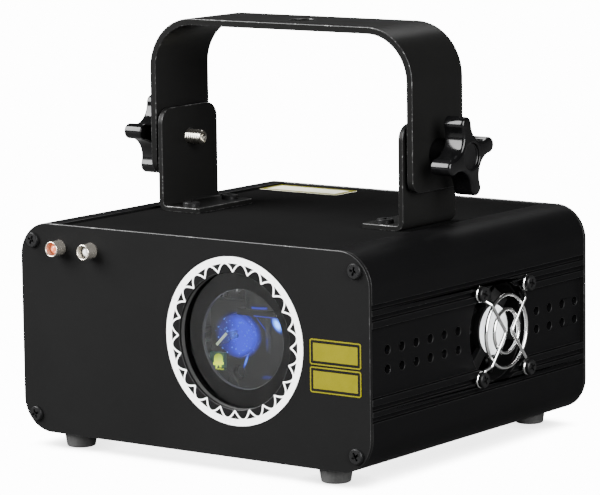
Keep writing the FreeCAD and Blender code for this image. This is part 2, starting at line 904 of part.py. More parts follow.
def fan_frame():
    """A square frame with a round duct; its outer side carries the motor hub on struts."""
    half = fan_size / 2
    frame = block(fan_back_x, fan_front_x, fan_y - half, fan_y + half, middle_z - half, middle_z + half)
    frame = rounded(frame, fan_corner_radius, X)
    centre = V(fan_back_x, fan_y, middle_z)
    frame = frame.cut(rod(fan_bore, centre, X, fan_depth))
    for y, z in fan_screw_places():
        frame = frame.cut(hole(fan_screw_diameter + 2 * screw_clearance, V(fan_back_x, y, z), X, 2 * fan_depth))
    hub_back = V(fan_hub_back_x, fan_y, middle_z)
    hub = rod(fan_hub_diameter, hub_back, X, fan_hub_thickness)
    strut_length = fan_bore / 2 + 0.5
    for index in range(fan_struts):
        strut = block(fan_hub_back_x, fan_front_x, fan_y, fan_y + strut_length,
                      middle_z - fan_strut_width / 2, middle_z + fan_strut_width / 2)
        strut.rotate(hub_back, X, fan_strut_start + index * 360 / fan_struts)
        hub = hub.fuse(strut)
    bush = rod(fan_bush_diameter, hub_back, X * -1, fan_bush_length)
    bore = rod(fan_shaft_diameter + 2 * shaft_clearance, hub_back, X * -1, fan_bush_length)
    return frame.fuse(hub).fuse(bush).cut(bore).removeSplitter()


def fan_blade(angle):
    """One blade, lofted from a steep root to a flatter tip."""
    wires = []
    root = rotor_hub_diameter / 2 - 0.5
    tip = fan_bore / 2 - rotor_tip_clearance
    middle_x = (rotor_back_x() + rotor_front_x()) / 2
    for radius, pitch in ((root, blade_root_pitch), (tip, blade_tip_pitch)):
        along = V(math.sin(math.radians(pitch)), math.cos(math.radians(pitch)), 0) * (blade_chord / 2)
        across = V(math.cos(math.radians(pitch)), -math.sin(math.radians(pitch)), 0) * (blade_thickness / 2)
        centre = V(middle_x, fan_y, middle_z + radius)
        corners = [centre + along + across, centre + along - across, centre - along - across, centre - along + across]
        wires.append(Part.makePolygon(corners + corners[:1]))
    blade = Part.makeLoft(wires, True, True)
    blade.rotate(V(middle_x, fan_y, middle_z), X, angle)
    return blade


def rotor_back_x():
    return fan_back_x + rotor_back_gap


def rotor_front_x():
    return fan_hub_back_x - rotor_front_gap


def fan_rotor():
    back = V(rotor_back_x(), fan_y, middle_z)
    front = V(rotor_front_x(), fan_y, middle_z)
    length = front.x - back.x
    hub = rod(rotor_hub_diameter, back, X, length)
    blades = [fan_blade(index * 360 / rotor_blades) for index in range(rotor_blades)]
    pocket_depth = fan_bush_length - rotor_front_gap + rotor_pocket_gap
    pocket = rod(fan_bush_diameter + 2 * rotor_pocket_gap, front, X * -1, pocket_depth)
    floor = front - X * pocket_depth
    shaft = rod(fan_shaft_diameter, floor - X, X, fan_bush_length + rotor_pocket_gap + 1)
    return hub.fuse(blades).cut(pocket).fuse(shaft).removeSplitter()


def bent_wire(points, bends, diameter):
    """A round wire along straight runs with a tangent arc at each inner point."""
    edges = []
    last = points[0]
    for index in range(1, len(points) - 1):
        corner = points[index]
        before = (points[index - 1] - corner).normalize()
        after = (points[index + 1] - corner).normalize()
        half_turn = (math.pi - before.getAngle(after)) / 2
        bend = bends[index - 1]
        setback = bend * math.tan(half_turn)
        middle = (before + after).normalize() * (bend / math.cos(half_turn) - bend)
        start = corner + before * setback
        end = corner + after * setback
        edges.append(Part.LineSegment(last, start).toShape())
        edges.append(Part.Arc(start, corner + middle, end).toShape())
        last = end
    edges.append(Part.LineSegment(last, points[-1]).toShape())
    path = Part.Wire(edges)
    section = Part.Wire(Part.makeCircle(diameter / 2, points[0], points[1] - points[0]))
    return path.makePipeShell([section], True, False)


def fan_guard():
    """Two rings behind two V-bent wires; the wires step down at each corner to an eyelet under a screw."""
    wire_x = eyelet_x + guard_rise
    ring_x = wire_x - guard_wire + guard_weld
    pieces = []
    for diameter in (guard_outer_ring, guard_inner_ring):
        pieces.append(Part.makeTorus(diameter / 2, guard_wire / 2, V(ring_x, fan_y, middle_z), X))
    for y, z in fan_screw_places():
        pieces.append(Part.makeTorus(guard_eyelet / 2, guard_wire / 2, V(eyelet_x, y, z), X))
    for side in (-1, 1):
        route = []
        for end in (1, -1):
            eye = V(eyelet_x, fan_y + side * fan_shift, middle_z + end * fan_shift)
            shoulder = V(wire_x, fan_y + side * guard_shoulder, middle_z + end * guard_shoulder)
            inward = V(0, shoulder.y - eye.y, shoulder.z - eye.z).normalize()
            leg = [eye + inward * (guard_eyelet / 2), eye + inward * guard_flat_leg, shoulder]
            route.append(leg)
        vertex = V(wire_x, fan_y + side * guard_vertex, middle_z)
        points = route[0] + [vertex] + route[1][::-1]
        bends = [guard_step_bend, guard_step_bend, guard_vertex_bend, guard_step_bend, guard_step_bend]
        pieces.append(bent_wire(points, bends, guard_wire))
    return pieces[0].fuse(pieces[1:])


def fan_screws():
    seat_x = half_width + guard_wire
    length = seat_x - fan_back_x + fan_nut_thickness
    screws = []
    for y, z in fan_screw_places():
        screws.append(pan_screw(V(seat_x, y, z), X * -1, fan_screw_diameter, fan_screw_head,
                                fan_screw_head_height, length))
    return Part.makeCompound(screws)


def fan_nuts():
    bore = fan_screw_diameter + 2 * shaft_clearance
    nuts = []
    for y, z in fan_screw_places():
        nuts.append(hex_nut(V(fan_back_x, y, z), X * -1, fan_nut_width, fan_nut_thickness, bore))
    return Part.makeCompound(nuts)


def optical_bench():
    return block(bench_x, bench_right_x, bench_y, bench_back_y, bench_z, bench_top_z)


def standoffs():
    """Posts under the bench, under the control board and behind the rear panel."""
    posts = []
    inset = bench_standoff_inset
    for x in (bench_x + inset, bench_right_x - inset):
        for y in (bench_y + inset, bench_back_y - inset):
            posts.append(rod(bench_standoff_diameter, V(x, y, inner_floor_z), Z, bench_z - inner_floor_z))
    inset = board_standoff_inset
    for x in (supply_x + inset, supply_x + supply_width - inset):
        for y in (supply_y + inset, supply_y + supply_length - inset):
            posts.append(rod(board_standoff_diameter, V(x, y, supply_top_z), Z, board_standoff_height))
    wide = panel_board_width / 2 - panel_board_standoff_inset
    tall = panel_board_height / 2 - panel_board_standoff_inset
    for sx in (-1, 1):
        for sz in (-1, 1):
            start = V(display_x + sx * wide, panel_board_y, floor_z + panel_board_z + sz * tall)
            posts.append(rod(panel_board_standoff_diameter, start, Y, panel_board_gap))
    return Part.makeCompound(posts)


def finned_block(x0, x1, y0, y1, width, along):
    """A laser module's body at beam height, with slots down its top that leave cooling fins."""
    top = laser_z + width / 2
    body = block(x0, x1, y0, y1, laser_z - width / 2, top)
    for index in range(1, laser_fin_count):
        offset = index * width / laser_fin_count
        if along == Y:
            middle = x0 + offset
            slot = block(middle - laser_fin_slot / 2, middle + laser_fin_slot / 2, y0, y1, top - laser_fin_depth, top)
        else:
            middle = y0 + offset
            slot = block(x0, x1, middle - laser_fin_slot / 2, middle + laser_fin_slot / 2, top - laser_fin_depth, top)
        body = body.cut(slot)
    return body


def blue_laser():
    """The larger module, which fires forwards through the combiner."""
    half = blue_laser_width / 2
    body = finned_block(laser_x - half, laser_x + half, blue_laser_front, bench_back_y, blue_laser_width, Y)
    nose = V(laser_x, blue_laser_front, laser_z)
    return body.fuse(rod(laser_nose_diameter, nose, Y * -1, laser_nose_length))


def red_laser():
    """The smaller module, which fires sideways into the combiner."""
    half = red_laser_width / 2
    left = laser_x + red_laser_offset
    body = finned_block(left, left + red_laser_length, combiner_y - half, combiner_y + half, red_laser_width, X)
    return body.fuse(rod(laser_nose_diameter, V(left, combiner_y, laser_z), X * -1, laser_nose_length))


def optics_mounts():
    """Blocks that carry the two modules and the combiner at beam height, and a wedge under the fold mirror."""
    half = laser_mount_width / 2
    blue_y = bench_back_y - blue_laser_length / 2
    red_x = laser_x + red_laser_offset + red_laser_length / 2
    blue = block(laser_x - half, laser_x + half, blue_y - half, blue_y + half,
                 bench_top_z, module_underside_z)
    red = block(red_x - half, red_x + half, combiner_y - half, combiner_y + half,
                bench_top_z, laser_z - red_laser_width / 2)
    half = combiner_post / 2
    post = block(laser_x - half, laser_x + half, combiner_y - half, combiner_y + half,
                 bench_top_z, laser_z - combiner_size / 2)
    slant = math.radians(mirror_angle)
    back_y = scan_y - optics_thickness / 2 * math.cos(slant)
    back_z = laser_z - optics_thickness / 2 * math.sin(slant)
    run = fold_mirror_length / 2 * math.sin(slant)
    rise = fold_mirror_length / 2 * math.cos(slant)
    left = laser_x - fold_mirror_width / 2
    corners = [V(left, back_y + run, bench_top_z), V(left, back_y + run, back_z - rise),
               V(left, back_y - run, back_z + rise), V(left, back_y - run, bench_top_z)]
    wedge = Part.Face(Part.makePolygon(corners + corners[:1])).extrude(X * fold_mirror_width)
    return Part.makeCompound([blue, red, post, wedge])


def fixed_optics():
    """The coated plate that joins the two beams, and the mirror that turns the joined beam upwards."""
    half = combiner_size / 2
    plate = block(laser_x - half, laser_x + half, combiner_y - optics_thickness / 2,
                  combiner_y + optics_thickness / 2, laser_z - half, laser_z + half)
    plate.rotate(V(laser_x, combiner_y, laser_z), Z, -mirror_angle)
    fold = block(laser_x - fold_mirror_width / 2, laser_x + fold_mirror_width / 2,
                 scan_y - optics_thickness / 2, scan_y + optics_thickness / 2,
                 laser_z - fold_mirror_length / 2, laser_z + fold_mirror_length / 2)
    fold.rotate(V(laser_x, scan_y, laser_z), X, mirror_angle)
    return Part.makeCompound([plate, fold])


def scanner_bracket():
    """An upright plate for one motor, with a shelf in front of its top edge for the other."""
    left = window_x - scanner_plate_left
    back = scanner_y + scanner_plate_thickness
    plate = block(left, scanner_right_x, scanner_y, back, bench_top_z, shelf_top_z)
    shelf = block(scanner_right_x - scanner_shelf_width, scanner_right_x, scanner_y - scanner_shelf_reach, scanner_y,
                  shelf_z, shelf_top_z)
    shape = plate.fuse(shelf)
    bore = motor_diameter + 2 * shaft_clearance
    shape = shape.cut(hole(bore, V(laser_x, scanner_y, beam_z), Y, 2 * scanner_plate_thickness))
    shape = shape.cut(hole(beam_hole_diameter, V(laser_x, scanner_y, laser_z), Y, 2 * scanner_plate_thickness))
    shaft = mirror_shaft_diameter + 4 * screw_clearance
    shape = shape.cut(hole(shaft, V(beam_x, scan_y, shelf_z), Z, 2 * scanner_shelf_thickness))
    return shape.removeSplitter()


def scanner_motors():
    """Two small motors: one through the upright plate, one standing on the shelf."""
    bore = mirror_shaft_diameter + 2 * shaft_clearance
    face = V(laser_x, scanner_y - motor_face_proud, beam_z)
    lying = rod(motor_diameter, face, Y, motor_length).cut(rod(bore, face, Y, motor_bore_depth))
    base = V(beam_x, scan_y, shelf_top_z)
    standing = rod(motor_diameter, base, Z, motor_length).cut(rod(bore, base, Z, motor_bore_depth))
    return Part.makeCompound([lying, standing])


def scanner_y_mirror():
    """The mirror on the lying motor's shaft, which swings the beam up and down."""
    root = V(laser_x, scanner_y - motor_face_proud + motor_bore_depth - seat_gap, beam_z)
    shaft_end = scan_y + mirror_length / 4
    shaft = rod(mirror_shaft_diameter, root, Y * -1, root.y - shaft_end)
    plate = block(laser_x - mirror_thickness / 2, laser_x + mirror_thickness / 2,
                  scan_y - mirror_length / 2, scan_y + mirror_length / 2,
                  beam_z - mirror_width / 2, beam_z + mirror_width / 2)
    plate.rotate(V(laser_x, 0, beam_z), Y, mirror_angle)
    return shaft.fuse(plate).removeSplitter()


def scanner_x_mirror():
    """The mirror that hangs from the standing motor's shaft and swings the beam from side to side."""
    root = V(beam_x, scan_y, shelf_top_z + motor_bore_depth - seat_gap)
    plate_top = beam_z + mirror_length / 2
    shaft = rod(mirror_shaft_diameter, root, Z * -1, root.z - plate_top + mirror_shaft_diameter)
    plate = block(beam_x - mirror_width / 2, beam_x + mirror_width / 2,
                  scan_y - mirror_thickness / 2, scan_y + mirror_thickness / 2,
                  beam_z - mirror_length / 2, plate_top)
    plate.rotate(V(beam_x, scan_y, 0), Z, -mirror_angle)
    return shaft.fuse(plate).removeSplitter()


def lamp_board_front():
    return scanner_y - lamp_board_setback


def status_lamp_place():
    return window_x - lamp_board_left + lamp_inset, window_centre_z - lamp_below_window


def lamp_board():
    """A small upright board in front of the scanner."""
    left = window_x - lamp_board_left
    top = status_lamp_place()[1] + lamp_board_top
    front = lamp_board_front()
    return block(left, left + lamp_board_width, front, front + lamp_board_thickness, bench_top_z, top)


def status_lamp():
    x, z = status_lamp_place()
    radius = status_lamp_diameter / 2
    nose = V(x, lamp_board_front() - status_lamp_length + radius, z)
    barrel = rod(status_lamp_diameter, nose, Y, status_lamp_length - radius)
    return barrel.fuse(Part.makeSphere(radius, nose)).removeSplitter()


def power_supply():
    """An enclosed supply on the bottom plate, along the left side."""
    case = block(supply_x, supply_x + supply_width, supply_y, supply_y + supply_length, inner_floor_z, supply_top_z)
    return rounded(case, supply_edge_radius, Z)


def control_board():
    return block(supply_x, supply_x + supply_width, supply_y, supply_y + supply_length, board_z,
                 board_z + board_thickness)


def board_components():
    top = board_z + board_thickness
    middle_x = supply_x + supply_width / 2
    middle_y = supply_y + supply_length / 2
    pieces = [block(middle_x - chip_width / 2, middle_x + chip_width / 2,
                    middle_y - chip_length / 2, middle_y + chip_length / 2, top, top + chip_height)]
    first = middle_x - capacitor_pitch * (capacitor_count - 1) / 2
    for index in range(capacitor_count):
        start = V(first + index * capacitor_pitch, middle_y - chip_length / 2 - capacitor_diameter, top)
        pieces.append(rod(capacitor_diameter, start, Z, capacitor_height))
    header_y = middle_y + chip_length / 2 + header_width
    pieces.append(block(middle_x - header_length / 2, middle_x + header_length / 2,
                        header_y, header_y + header_width, top, top + header_height))
    return Part.makeCompound(pieces)


def centred_block(x, z, width, height, y0, y1):
    """A block across the rear panel, its centre given from the housing's middle and underside."""
    middle = floor_z + z
    return block(x - width / 2, x + width / 2, y0, y1, middle - height / 2, middle + height / 2)


def mains_inlet():
    """An appliance inlet that snaps into the panel: a flange, a deep socket with two cut corners, three blades."""
    face = rear_y + inlet_flange_thickness
    shape = centred_block(inlet_x, inlet_z, inlet_flange_width, inlet_flange_height, rear_y, face)
    shape = rounded(shape, inlet_flange_margin, Y)
    shape = shape.fuse(centred_block(inlet_x, inlet_z, inlet_width, inlet_height, face - inlet_depth, face))
    floor = face - inlet_cavity_depth
    cavity = centred_block(inlet_x, inlet_z, inlet_cavity_width, inlet_cavity_height, floor, face)
    top_edges = []
    for edge in cavity.Edges:
        lengthwise = abs(edge.tangentAt(edge.FirstParameter).dot(Y)) > 0.999
        if lengthwise and edge.CenterOfMass.z > floor_z + inlet_z:
            top_edges.append(edge)
    shape = shape.cut(cavity.makeChamfer(inlet_cavity_chamfer, top_edges))
    for index in (-1, 0, 1):
        rise = inlet_pin_rise if index == 0 else -inlet_pin_rise
        pin = centred_block(inlet_x + index * inlet_pin_spacing, inlet_z + rise, inlet_pin_width, inlet_pin_height,
                            floor, floor + inlet_pin_length)
        shape = shape.fuse(pin)
    return shape.removeSplitter()


def rocker_pivot():
    return V(switch_x, rear_y + switch_flange_thickness - rocker_pivot_depth, floor_z + switch_z)


def switch_housing():
    face = rear_y + switch_flange_thickness
    flange_width = switch_width + 2 * switch_flange_margin
    shape = centred_block(switch_x, switch_z, flange_width, switch_flange_height, rear_y, face)
    shape = rounded(shape, switch_flange_margin, Y)
    shape = shape.fuse(centred_block(switch_x, switch_z, switch_width, switch_height, face - switch_depth, face))
    wall = 2 * switch_wall
    cavity = centred_block(switch_x, switch_z, switch_width - wall, switch_height - wall,
                           face - switch_cavity_depth, face)
    bore = rocker_pin_diameter + 2 * shaft_clearance
    reach = switch_width / 2 - switch_wall + rocker_pin_length
    return shape.cut(cavity).cut(hole(bore, rocker_pivot(), X, reach)).removeSplitter()


def rocker():
    """A rocker with two sloping faces, a round belly and two short pivot pins, tipped to one side."""
    pivot = rocker_pivot()
    half = rocker_half_height
    slope = half * math.tan(math.radians(rocker_tilt))
    corners = [V(0, 0, half), V(0, rocker_face_rise + slope, half), V(0, rocker_face_rise, 0),
               V(0, rocker_face_rise + slope, -half), V(0, 0, -half)]
    edges = [Part.LineSegment(first, second).toShape() for first, second in zip(corners, corners[1:])]
    edges.append(Part.Arc(corners[-1], V(0, -rocker_belly, 0), corners[0]).toShape())
    half_width_inside = switch_width / 2 - switch_wall
    width = 2 * (half_width_inside - rocker_side_gap)
    body = Part.Face(Part.Wire(edges)).extrude(X * width)
    body.translate(pivot - X * (width / 2))
    pin_length = half_width_inside + rocker_pin_length - seat_gap
    body = body.fuse(hole(rocker_pin_diameter, pivot, X, pin_length)).removeSplitter()
    body.rotate(pivot, X, rocker_tilt)
    return body


def socket_screw_places():
    places = []
    for x in (socket_input_x, socket_output_x):
        for side in (-1, 1):
            places.append((x + side * socket_screw_spacing_x / 2,
                           floor_z + socket_z + side * socket_screw_spacing_z / 2))
    return places


def signal_socket(x):
    """The flange and barrel that both round sockets share."""
    face = rear_y + socket_flange_thickness
    flange = centred_block(x, socket_z, socket_flange_width, socket_flange_height, rear_y, face)
    flange = rounded(flange, socket_flange_radius, Y)
    centre = V(x, face, floor_z + socket_z)
    shape = flange.fuse(rod(socket_body_diameter, centre, Y * -1, socket_depth))
    for screw_x, screw_z in socket_screw_places():
        bore = socket_screw_diameter + 2 * screw_clearance
        shape = shape.cut(hole(bore, V(screw_x, face, screw_z), Y, 2 * socket_flange_thickness))
    return shape.cut(rod(socket_bore, centre, Y * -1, socket_bore_depth)), centre


def contact_places(centre):
    """Three contacts on a circle, a quarter turn apart."""
    places = []
    for angle in (0, 90, 180):
        turn = math.radians(angle)
        offset = V(math.cos(turn), 0, -math.sin(turn)) * (socket_pin_circle / 2)
        places.append(centre + offset)
    return places


def signal_input():
    """The socket with pins."""
    shape, centre = signal_socket(socket_input_x)
    floor = centre - Y * socket_bore_depth
    for place in contact_places(floor):
        shape = shape.fuse(rod(socket_pin_diameter, place, Y, socket_pin_length))
    return shape.removeSplitter()


def signal_output():
    return signal_socket(socket_output_x)[0].removeSplitter()


def signal_output_insert():
    """The round insert with three contact holes, on the floor of the output socket's bore."""
    centre = signal_socket(socket_output_x)[1]
    floor = centre - Y * socket_bore_depth
    length = socket_bore_depth - socket_insert_setback
    insert = rod(socket_insert_diameter, floor, Y, length)
    top = floor + Y * length
    for place in contact_places(top):
        insert = insert.cut(rod(socket_pin_diameter, place, Y * -1, socket_pin_length))
    return insert


def connector_screws():
    screws = []
    for x, z in socket_screw_places():
        seat = V(x, rear_y + socket_flange_thickness, z)
        screws.append(pan_screw(seat, Y * -1, socket_screw_diameter, socket_screw_head,
                                socket_screw_head_height, socket_screw_length))
    return Part.makeCompound(screws)


def panel_board():
    """The board behind the rear panel, with a switch block under each menu button."""
    board = centred_block(display_x, panel_board_z, panel_board_width, panel_board_height,
                          panel_board_y - board_thickness, panel_board_y)
    for x in menu_button_places():
        board = board.fuse(centred_block(x, menu_button_z, switch_block_width, switch_block_width,
                                         panel_board_y, button_seat_y))
    return board.removeSplitter()


def display_window():
    return centred_block(display_x, display_z, display_width, display_height, panel_board_y, rear_y)


def menu_button_places():
    first = display_x - menu_button_pitch * (menu_button_count - 1) / 2
    return [first + index * menu_button_pitch for index in range(menu_button_count)]


def menu_button(x):
    """A button with a collar behind the panel and a stem that stops short of its switch by the travel."""
    centre_z = floor_z + menu_button_z
    flange_y = rear_inner_y - turning_gap - menu_button_flange_thickness
    cap = rod(menu_button_diameter, V(x, flange_y, centre_z), Y, rear_y + menu_button_proud - flange_y)
    cap = softened(cap, menu_button_proud / 3, lambda point: abs(point.y - rear_y - menu_button_proud) < 0.01)
    flange = rod(menu_button_flange_diameter, V(x, flange_y, centre_z), Y, menu_button_flange_thickness)
    stem_y = button_seat_y + menu_button_travel + turning_gap
    stem = rod(menu_button_stem_diameter, V(x, stem_y, centre_z), Y, flange_y - stem_y)
    return cap.fuse(flange).fuse(stem).removeSplitter()


def sensitivity_pot():
    """A round control behind the panel, its bush through the panel."""
    centre = V(control_x, rear_inner_y, floor_z + control_z)
    body = rod(pot_diameter, centre, Y * -1, pot_depth)
    body = body.fuse(rod(pot_bush_diameter, centre, Y, panel_thickness + pot_bush_length))
    mouth = centre + Y * (panel_thickness + pot_bush_length)
    bore = control_shaft_diameter + 2 * shaft_clearance
    return body.cut(rod(bore, mouth, Y * -1, pot_bore_depth)).removeSplitter()


def sensitivity_knob():
    """A fluted knob on its shaft, hollow underneath to clear the bush."""
    base = V(control_x, rear_y + control_knob_lift, floor_z + control_z)
    body = rod(control_knob_diameter, base, Y, control_knob_height)
    top_y = base.y + control_knob_height
    body = softened(body, control_knob_edge, lambda point: abs(point.y - top_y) < 0.01)
    for index in range(control_knob_flutes):
        turn = math.radians(index * 360 / control_knob_flutes)
        rim = V(math.cos(turn), 0, math.sin(turn)) * (control_knob_diameter / 2)
        body = body.cut(rod(control_knob_flute_diameter, base + rim, Y, control_knob_height * 0.8))
    pocket_depth = pot_bush_length - control_knob_lift + control_knob_pocket_gap
    pocket = pot_bush_diameter + 2 * control_knob_pocket_gap
    body = body.cut(rod(pocket, base, Y, pocket_depth))
    bush_end = rear_y + pot_bush_length
    shaft_start = bush_end - pot_bore_depth + seat_gap
    shaft_length = base.y + pocket_depth + 1 - shaft_start
    shaft = rod(control_shaft_diameter, V(control_x, shaft_start, base.z), Y, shaft_length)
    return body.fuse(shaft).removeSplitter()


nodes = {
    "front_panel": front_panel(),
    "rear_panel": rear_panel(),
    "side_profile_right": side_profile_right(),
    "side_profile_left": side_profile_left(),
    "top_cover": top_cover(),
    "bottom_plate": bottom_plate(),
    "panel_screws": panel_screws(),
    "rubber_feet": rubber_feet(),
    "foot_screws": foot_screws(),
    "bracket_left": bracket(-1),
    "bracket_right": bracket(1),
    "bracket_screws": bracket_screws(),
    "bracket_nuts": bracket_nuts(),
    "friction_washers": friction_washers(),
    "yoke": yoke(),
    "knob_left": knob(-1, knob_left_turn),
    "knob_left_stud": knob_stud(-1),
    "knob_right": knob(1, knob_right_turn),
    "knob_right_stud": knob_stud(1),
    "window_gasket": window_gasket(),
    "window_glass": window_glass(),
    "window_retainer": window_retainer(),
    "indicator_bezels": indicator_bezels(),
    "power_indicator": indicator_lamp(indicator_places()[0]),
    "signal_indicator": indicator_lamp(indicator_places()[1]),
    "fan_frame": fan_frame(),
    "fan_rotor": fan_rotor(),
    "fan_guard": fan_guard(),
    "fan_screws": fan_screws(),
    "fan_nuts": fan_nuts(),
    "optical_bench": optical_bench(),
    "standoffs": standoffs(),
    "blue_laser": blue_laser(),
    "red_laser": red_laser(),
    "optics_mounts": optics_mounts(),
    "fixed_optics": fixed_optics(),
    "scanner_bracket": scanner_bracket(),
    "scanner_motors": scanner_motors(),
    "scanner_x_mirror": scanner_x_mirror(),
    "scanner_y_mirror": scanner_y_mirror(),
    "lamp_board": lamp_board(),
    "status_lamp": status_lamp(),
    "power_supply": power_supply(),
    "control_board": control_board(),
    "board_components": board_components(),
    "mains_inlet": mains_inlet(),
    "switch_housing": switch_housing(),
    "rocker": rocker(),
    "signal_input": signal_input(),
    "signal_output": signal_output(),
    "signal_output_insert": signal_output_insert(),
    "connector_screws": connector_screws(),
    "panel_board": panel_board(),
    "display_window": display_window(),
    "sensitivity_pot": sensitivity_pot(),
    "sensitivity_knob": sensitivity_knob(),
}
for number, place in enumerate(menu_button_places(), 1):
    nodes["menu_button_%d" % number] = menu_button(place)

os.makedirs("parts", exist_ok=True)
for name, shape in nodes.items():
    shape.exportStep(os.path.join("parts", name + ".step"))
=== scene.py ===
import json
import math

import bmesh
import bpy
from mathutils import Matrix, Vector

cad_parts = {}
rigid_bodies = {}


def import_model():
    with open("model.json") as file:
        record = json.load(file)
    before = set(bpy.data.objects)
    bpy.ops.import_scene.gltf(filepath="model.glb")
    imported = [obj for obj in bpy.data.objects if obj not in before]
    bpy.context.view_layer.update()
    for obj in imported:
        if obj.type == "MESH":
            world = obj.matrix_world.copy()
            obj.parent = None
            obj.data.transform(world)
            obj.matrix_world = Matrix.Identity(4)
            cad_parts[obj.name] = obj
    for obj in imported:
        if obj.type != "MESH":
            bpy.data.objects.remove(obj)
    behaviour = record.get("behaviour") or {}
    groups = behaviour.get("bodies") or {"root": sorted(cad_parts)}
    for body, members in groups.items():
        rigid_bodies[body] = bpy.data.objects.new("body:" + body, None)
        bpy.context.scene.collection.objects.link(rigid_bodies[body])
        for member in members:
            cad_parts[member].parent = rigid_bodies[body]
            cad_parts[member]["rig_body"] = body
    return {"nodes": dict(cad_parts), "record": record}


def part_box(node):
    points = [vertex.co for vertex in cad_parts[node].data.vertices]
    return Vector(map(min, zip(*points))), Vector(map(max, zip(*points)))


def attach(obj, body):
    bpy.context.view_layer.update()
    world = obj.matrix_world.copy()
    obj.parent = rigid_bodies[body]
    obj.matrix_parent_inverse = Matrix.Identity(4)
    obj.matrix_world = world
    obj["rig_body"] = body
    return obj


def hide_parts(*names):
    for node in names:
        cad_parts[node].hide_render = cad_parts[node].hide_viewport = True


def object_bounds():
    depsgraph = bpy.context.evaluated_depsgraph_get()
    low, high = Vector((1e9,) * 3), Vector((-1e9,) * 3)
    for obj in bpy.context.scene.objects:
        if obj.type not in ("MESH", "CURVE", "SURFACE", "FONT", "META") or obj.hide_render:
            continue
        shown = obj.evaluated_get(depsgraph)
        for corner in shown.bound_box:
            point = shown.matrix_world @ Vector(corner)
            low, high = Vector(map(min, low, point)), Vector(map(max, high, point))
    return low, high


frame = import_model()
cad_low, cad_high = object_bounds()


# Side profiles: two black anodised aluminium extrusions, sawn to length, that carry both covers and both
# end panels. The die leaves faint lines along them, and the edges that hands catch are rubbed brighter.
mm = 0.001
weld = 0.0005 * mm
flat, sharp = math.radians(0.4), math.radians(32)
nodes = frame["nodes"]
slot_of = {part["node"]: part["material_slot"] for part in frame["record"]["subparts"]}


class Socket:
    """A node's output in a shader or geometry tree. Arithmetic with it adds Math nodes to that tree."""

    def __init__(self, tree, output=None):
        self.tree = tree
        self.output = output

    def feed(self, made, inputs):
        """Links or sets a node's inputs, by name or number. A list goes to one input, part by part."""
        for name, value in inputs.items():
            for part in value if isinstance(value, list) else [value]:
                if isinstance(part, Socket):
                    self.tree.links.new(part.output, made.inputs[name])
                else:
                    made.inputs[name].default_value = part

    def node(self, kind, settings, inputs, output=0):
        made = self.tree.nodes.new(kind)
        for name, value in settings.items():
            setattr(made, name, value)
        self.feed(made, inputs)
        return Socket(self.tree, made.outputs[output])

    def maths(self, operation, first, second=0.0):
        return self.node("ShaderNodeMath", {"operation": operation}, {0: first, 1: second})

    def along(self, axis):
        """This vector's measure on the axis X, Y or Z."""
        return self.node("ShaderNodeSeparateXYZ", {}, {0: self}, axis)

    def rise(self, low, high):
        """0 at low and 1 at high, smooth between and level beyond; it falls where low is the larger."""
        ends = {"Value": self, "From Min": low, "From Max": high}
        return self.node("ShaderNodeMapRange", {"interpolation_type": "SMOOTHSTEP"}, ends)

    def tint(self, low, high):
        """The colour at 0 and the colour at 1, mixed by this value."""
        ends = [end if isinstance(end, Socket) else (*end, 1.0) for end in (low, high)]
        return self.node("ShaderNodeMix", {"data_type": "RGBA"}, {0: self, 6: ends[0], 7: ends[1]}, 2)

    def __add__(self, other):
        return self.maths("ADD", self, other)

    def __sub__(self, other):
        return self.maths("SUBTRACT", self, other)

    def __rsub__(self, other):
        return self.maths("SUBTRACT", other, self)

    def __mul__(self, other):
        return self.maths("MULTIPLY", self, other)

    def __truediv__(self, other):
        return self.maths("DIVIDE", self, other)

    def __abs__(self):
        return self.maths("ABSOLUTE", self)

    __radd__ = __add__
    __rmul__ = __mul__


def new_material(name, constants):
    """A material's own shader with its constant sockets set, and the place of a point on the part."""
    material = bpy.data.materials.new(name)
    material.use_nodes = True
    shader = material.node_tree.nodes["Principled BSDF"]
    place = Socket(material.node_tree).node("ShaderNodeTexCoord", {}, {}, "Object")
    place.feed(shader, constants)
    return material, shader, place


def noise(place, scale, detail=2.0, roughness=0.5):
    return place.node("ShaderNodeTexNoise", {}, {"Vector": place, "Scale": scale, "Detail": detail,
                                                 "Roughness": roughness})


def stretched(place, scale):
    return place.node("ShaderNodeMapping", {}, {"Vector": place, "Scale": scale})


def relief(height, depth):
    return height.node("ShaderNodeBump", {}, {"Height": height, "Distance": depth, "Strength": 1.0})


def dark_coat(name, shade, roughness, level, grain, depth, lines=None):
    """A black finish: grain in relief, cloudy dulling from handling, dust specks, and lines if drawn."""
    material, shader, place = new_material(name, {"Specular IOR Level": level})
    fine = noise(place, grain, 3.0)
    cloud = noise(place, 26.0, 4.0, 0.6)
    dust = noise(place, 2200.0, 1.0).rise(0.70, 0.76)
    height = fine
    rough = roughness + 0.10 * (cloud - 0.5) + 0.06 * (fine - 0.5)
    if lines:
        drawn = noise(stretched(place, lines), 1.0, 2.0)
        height = 0.35 * fine + 0.65 * drawn
        rough = rough + 0.10 * (drawn - 0.5)
    light = [value * 1.45 for value in shade]
    dark = [value * 0.75 for value in shade]
    cloudy = (0.6 * cloud + 0.4 * fine).tint(dark, light)
    place.feed(shader, {"Base Color": (0.015 * dust).tint(cloudy, (0.20, 0.20, 0.21)),
                        "Roughness": rough, "Normal": relief(height, depth)})
    return material


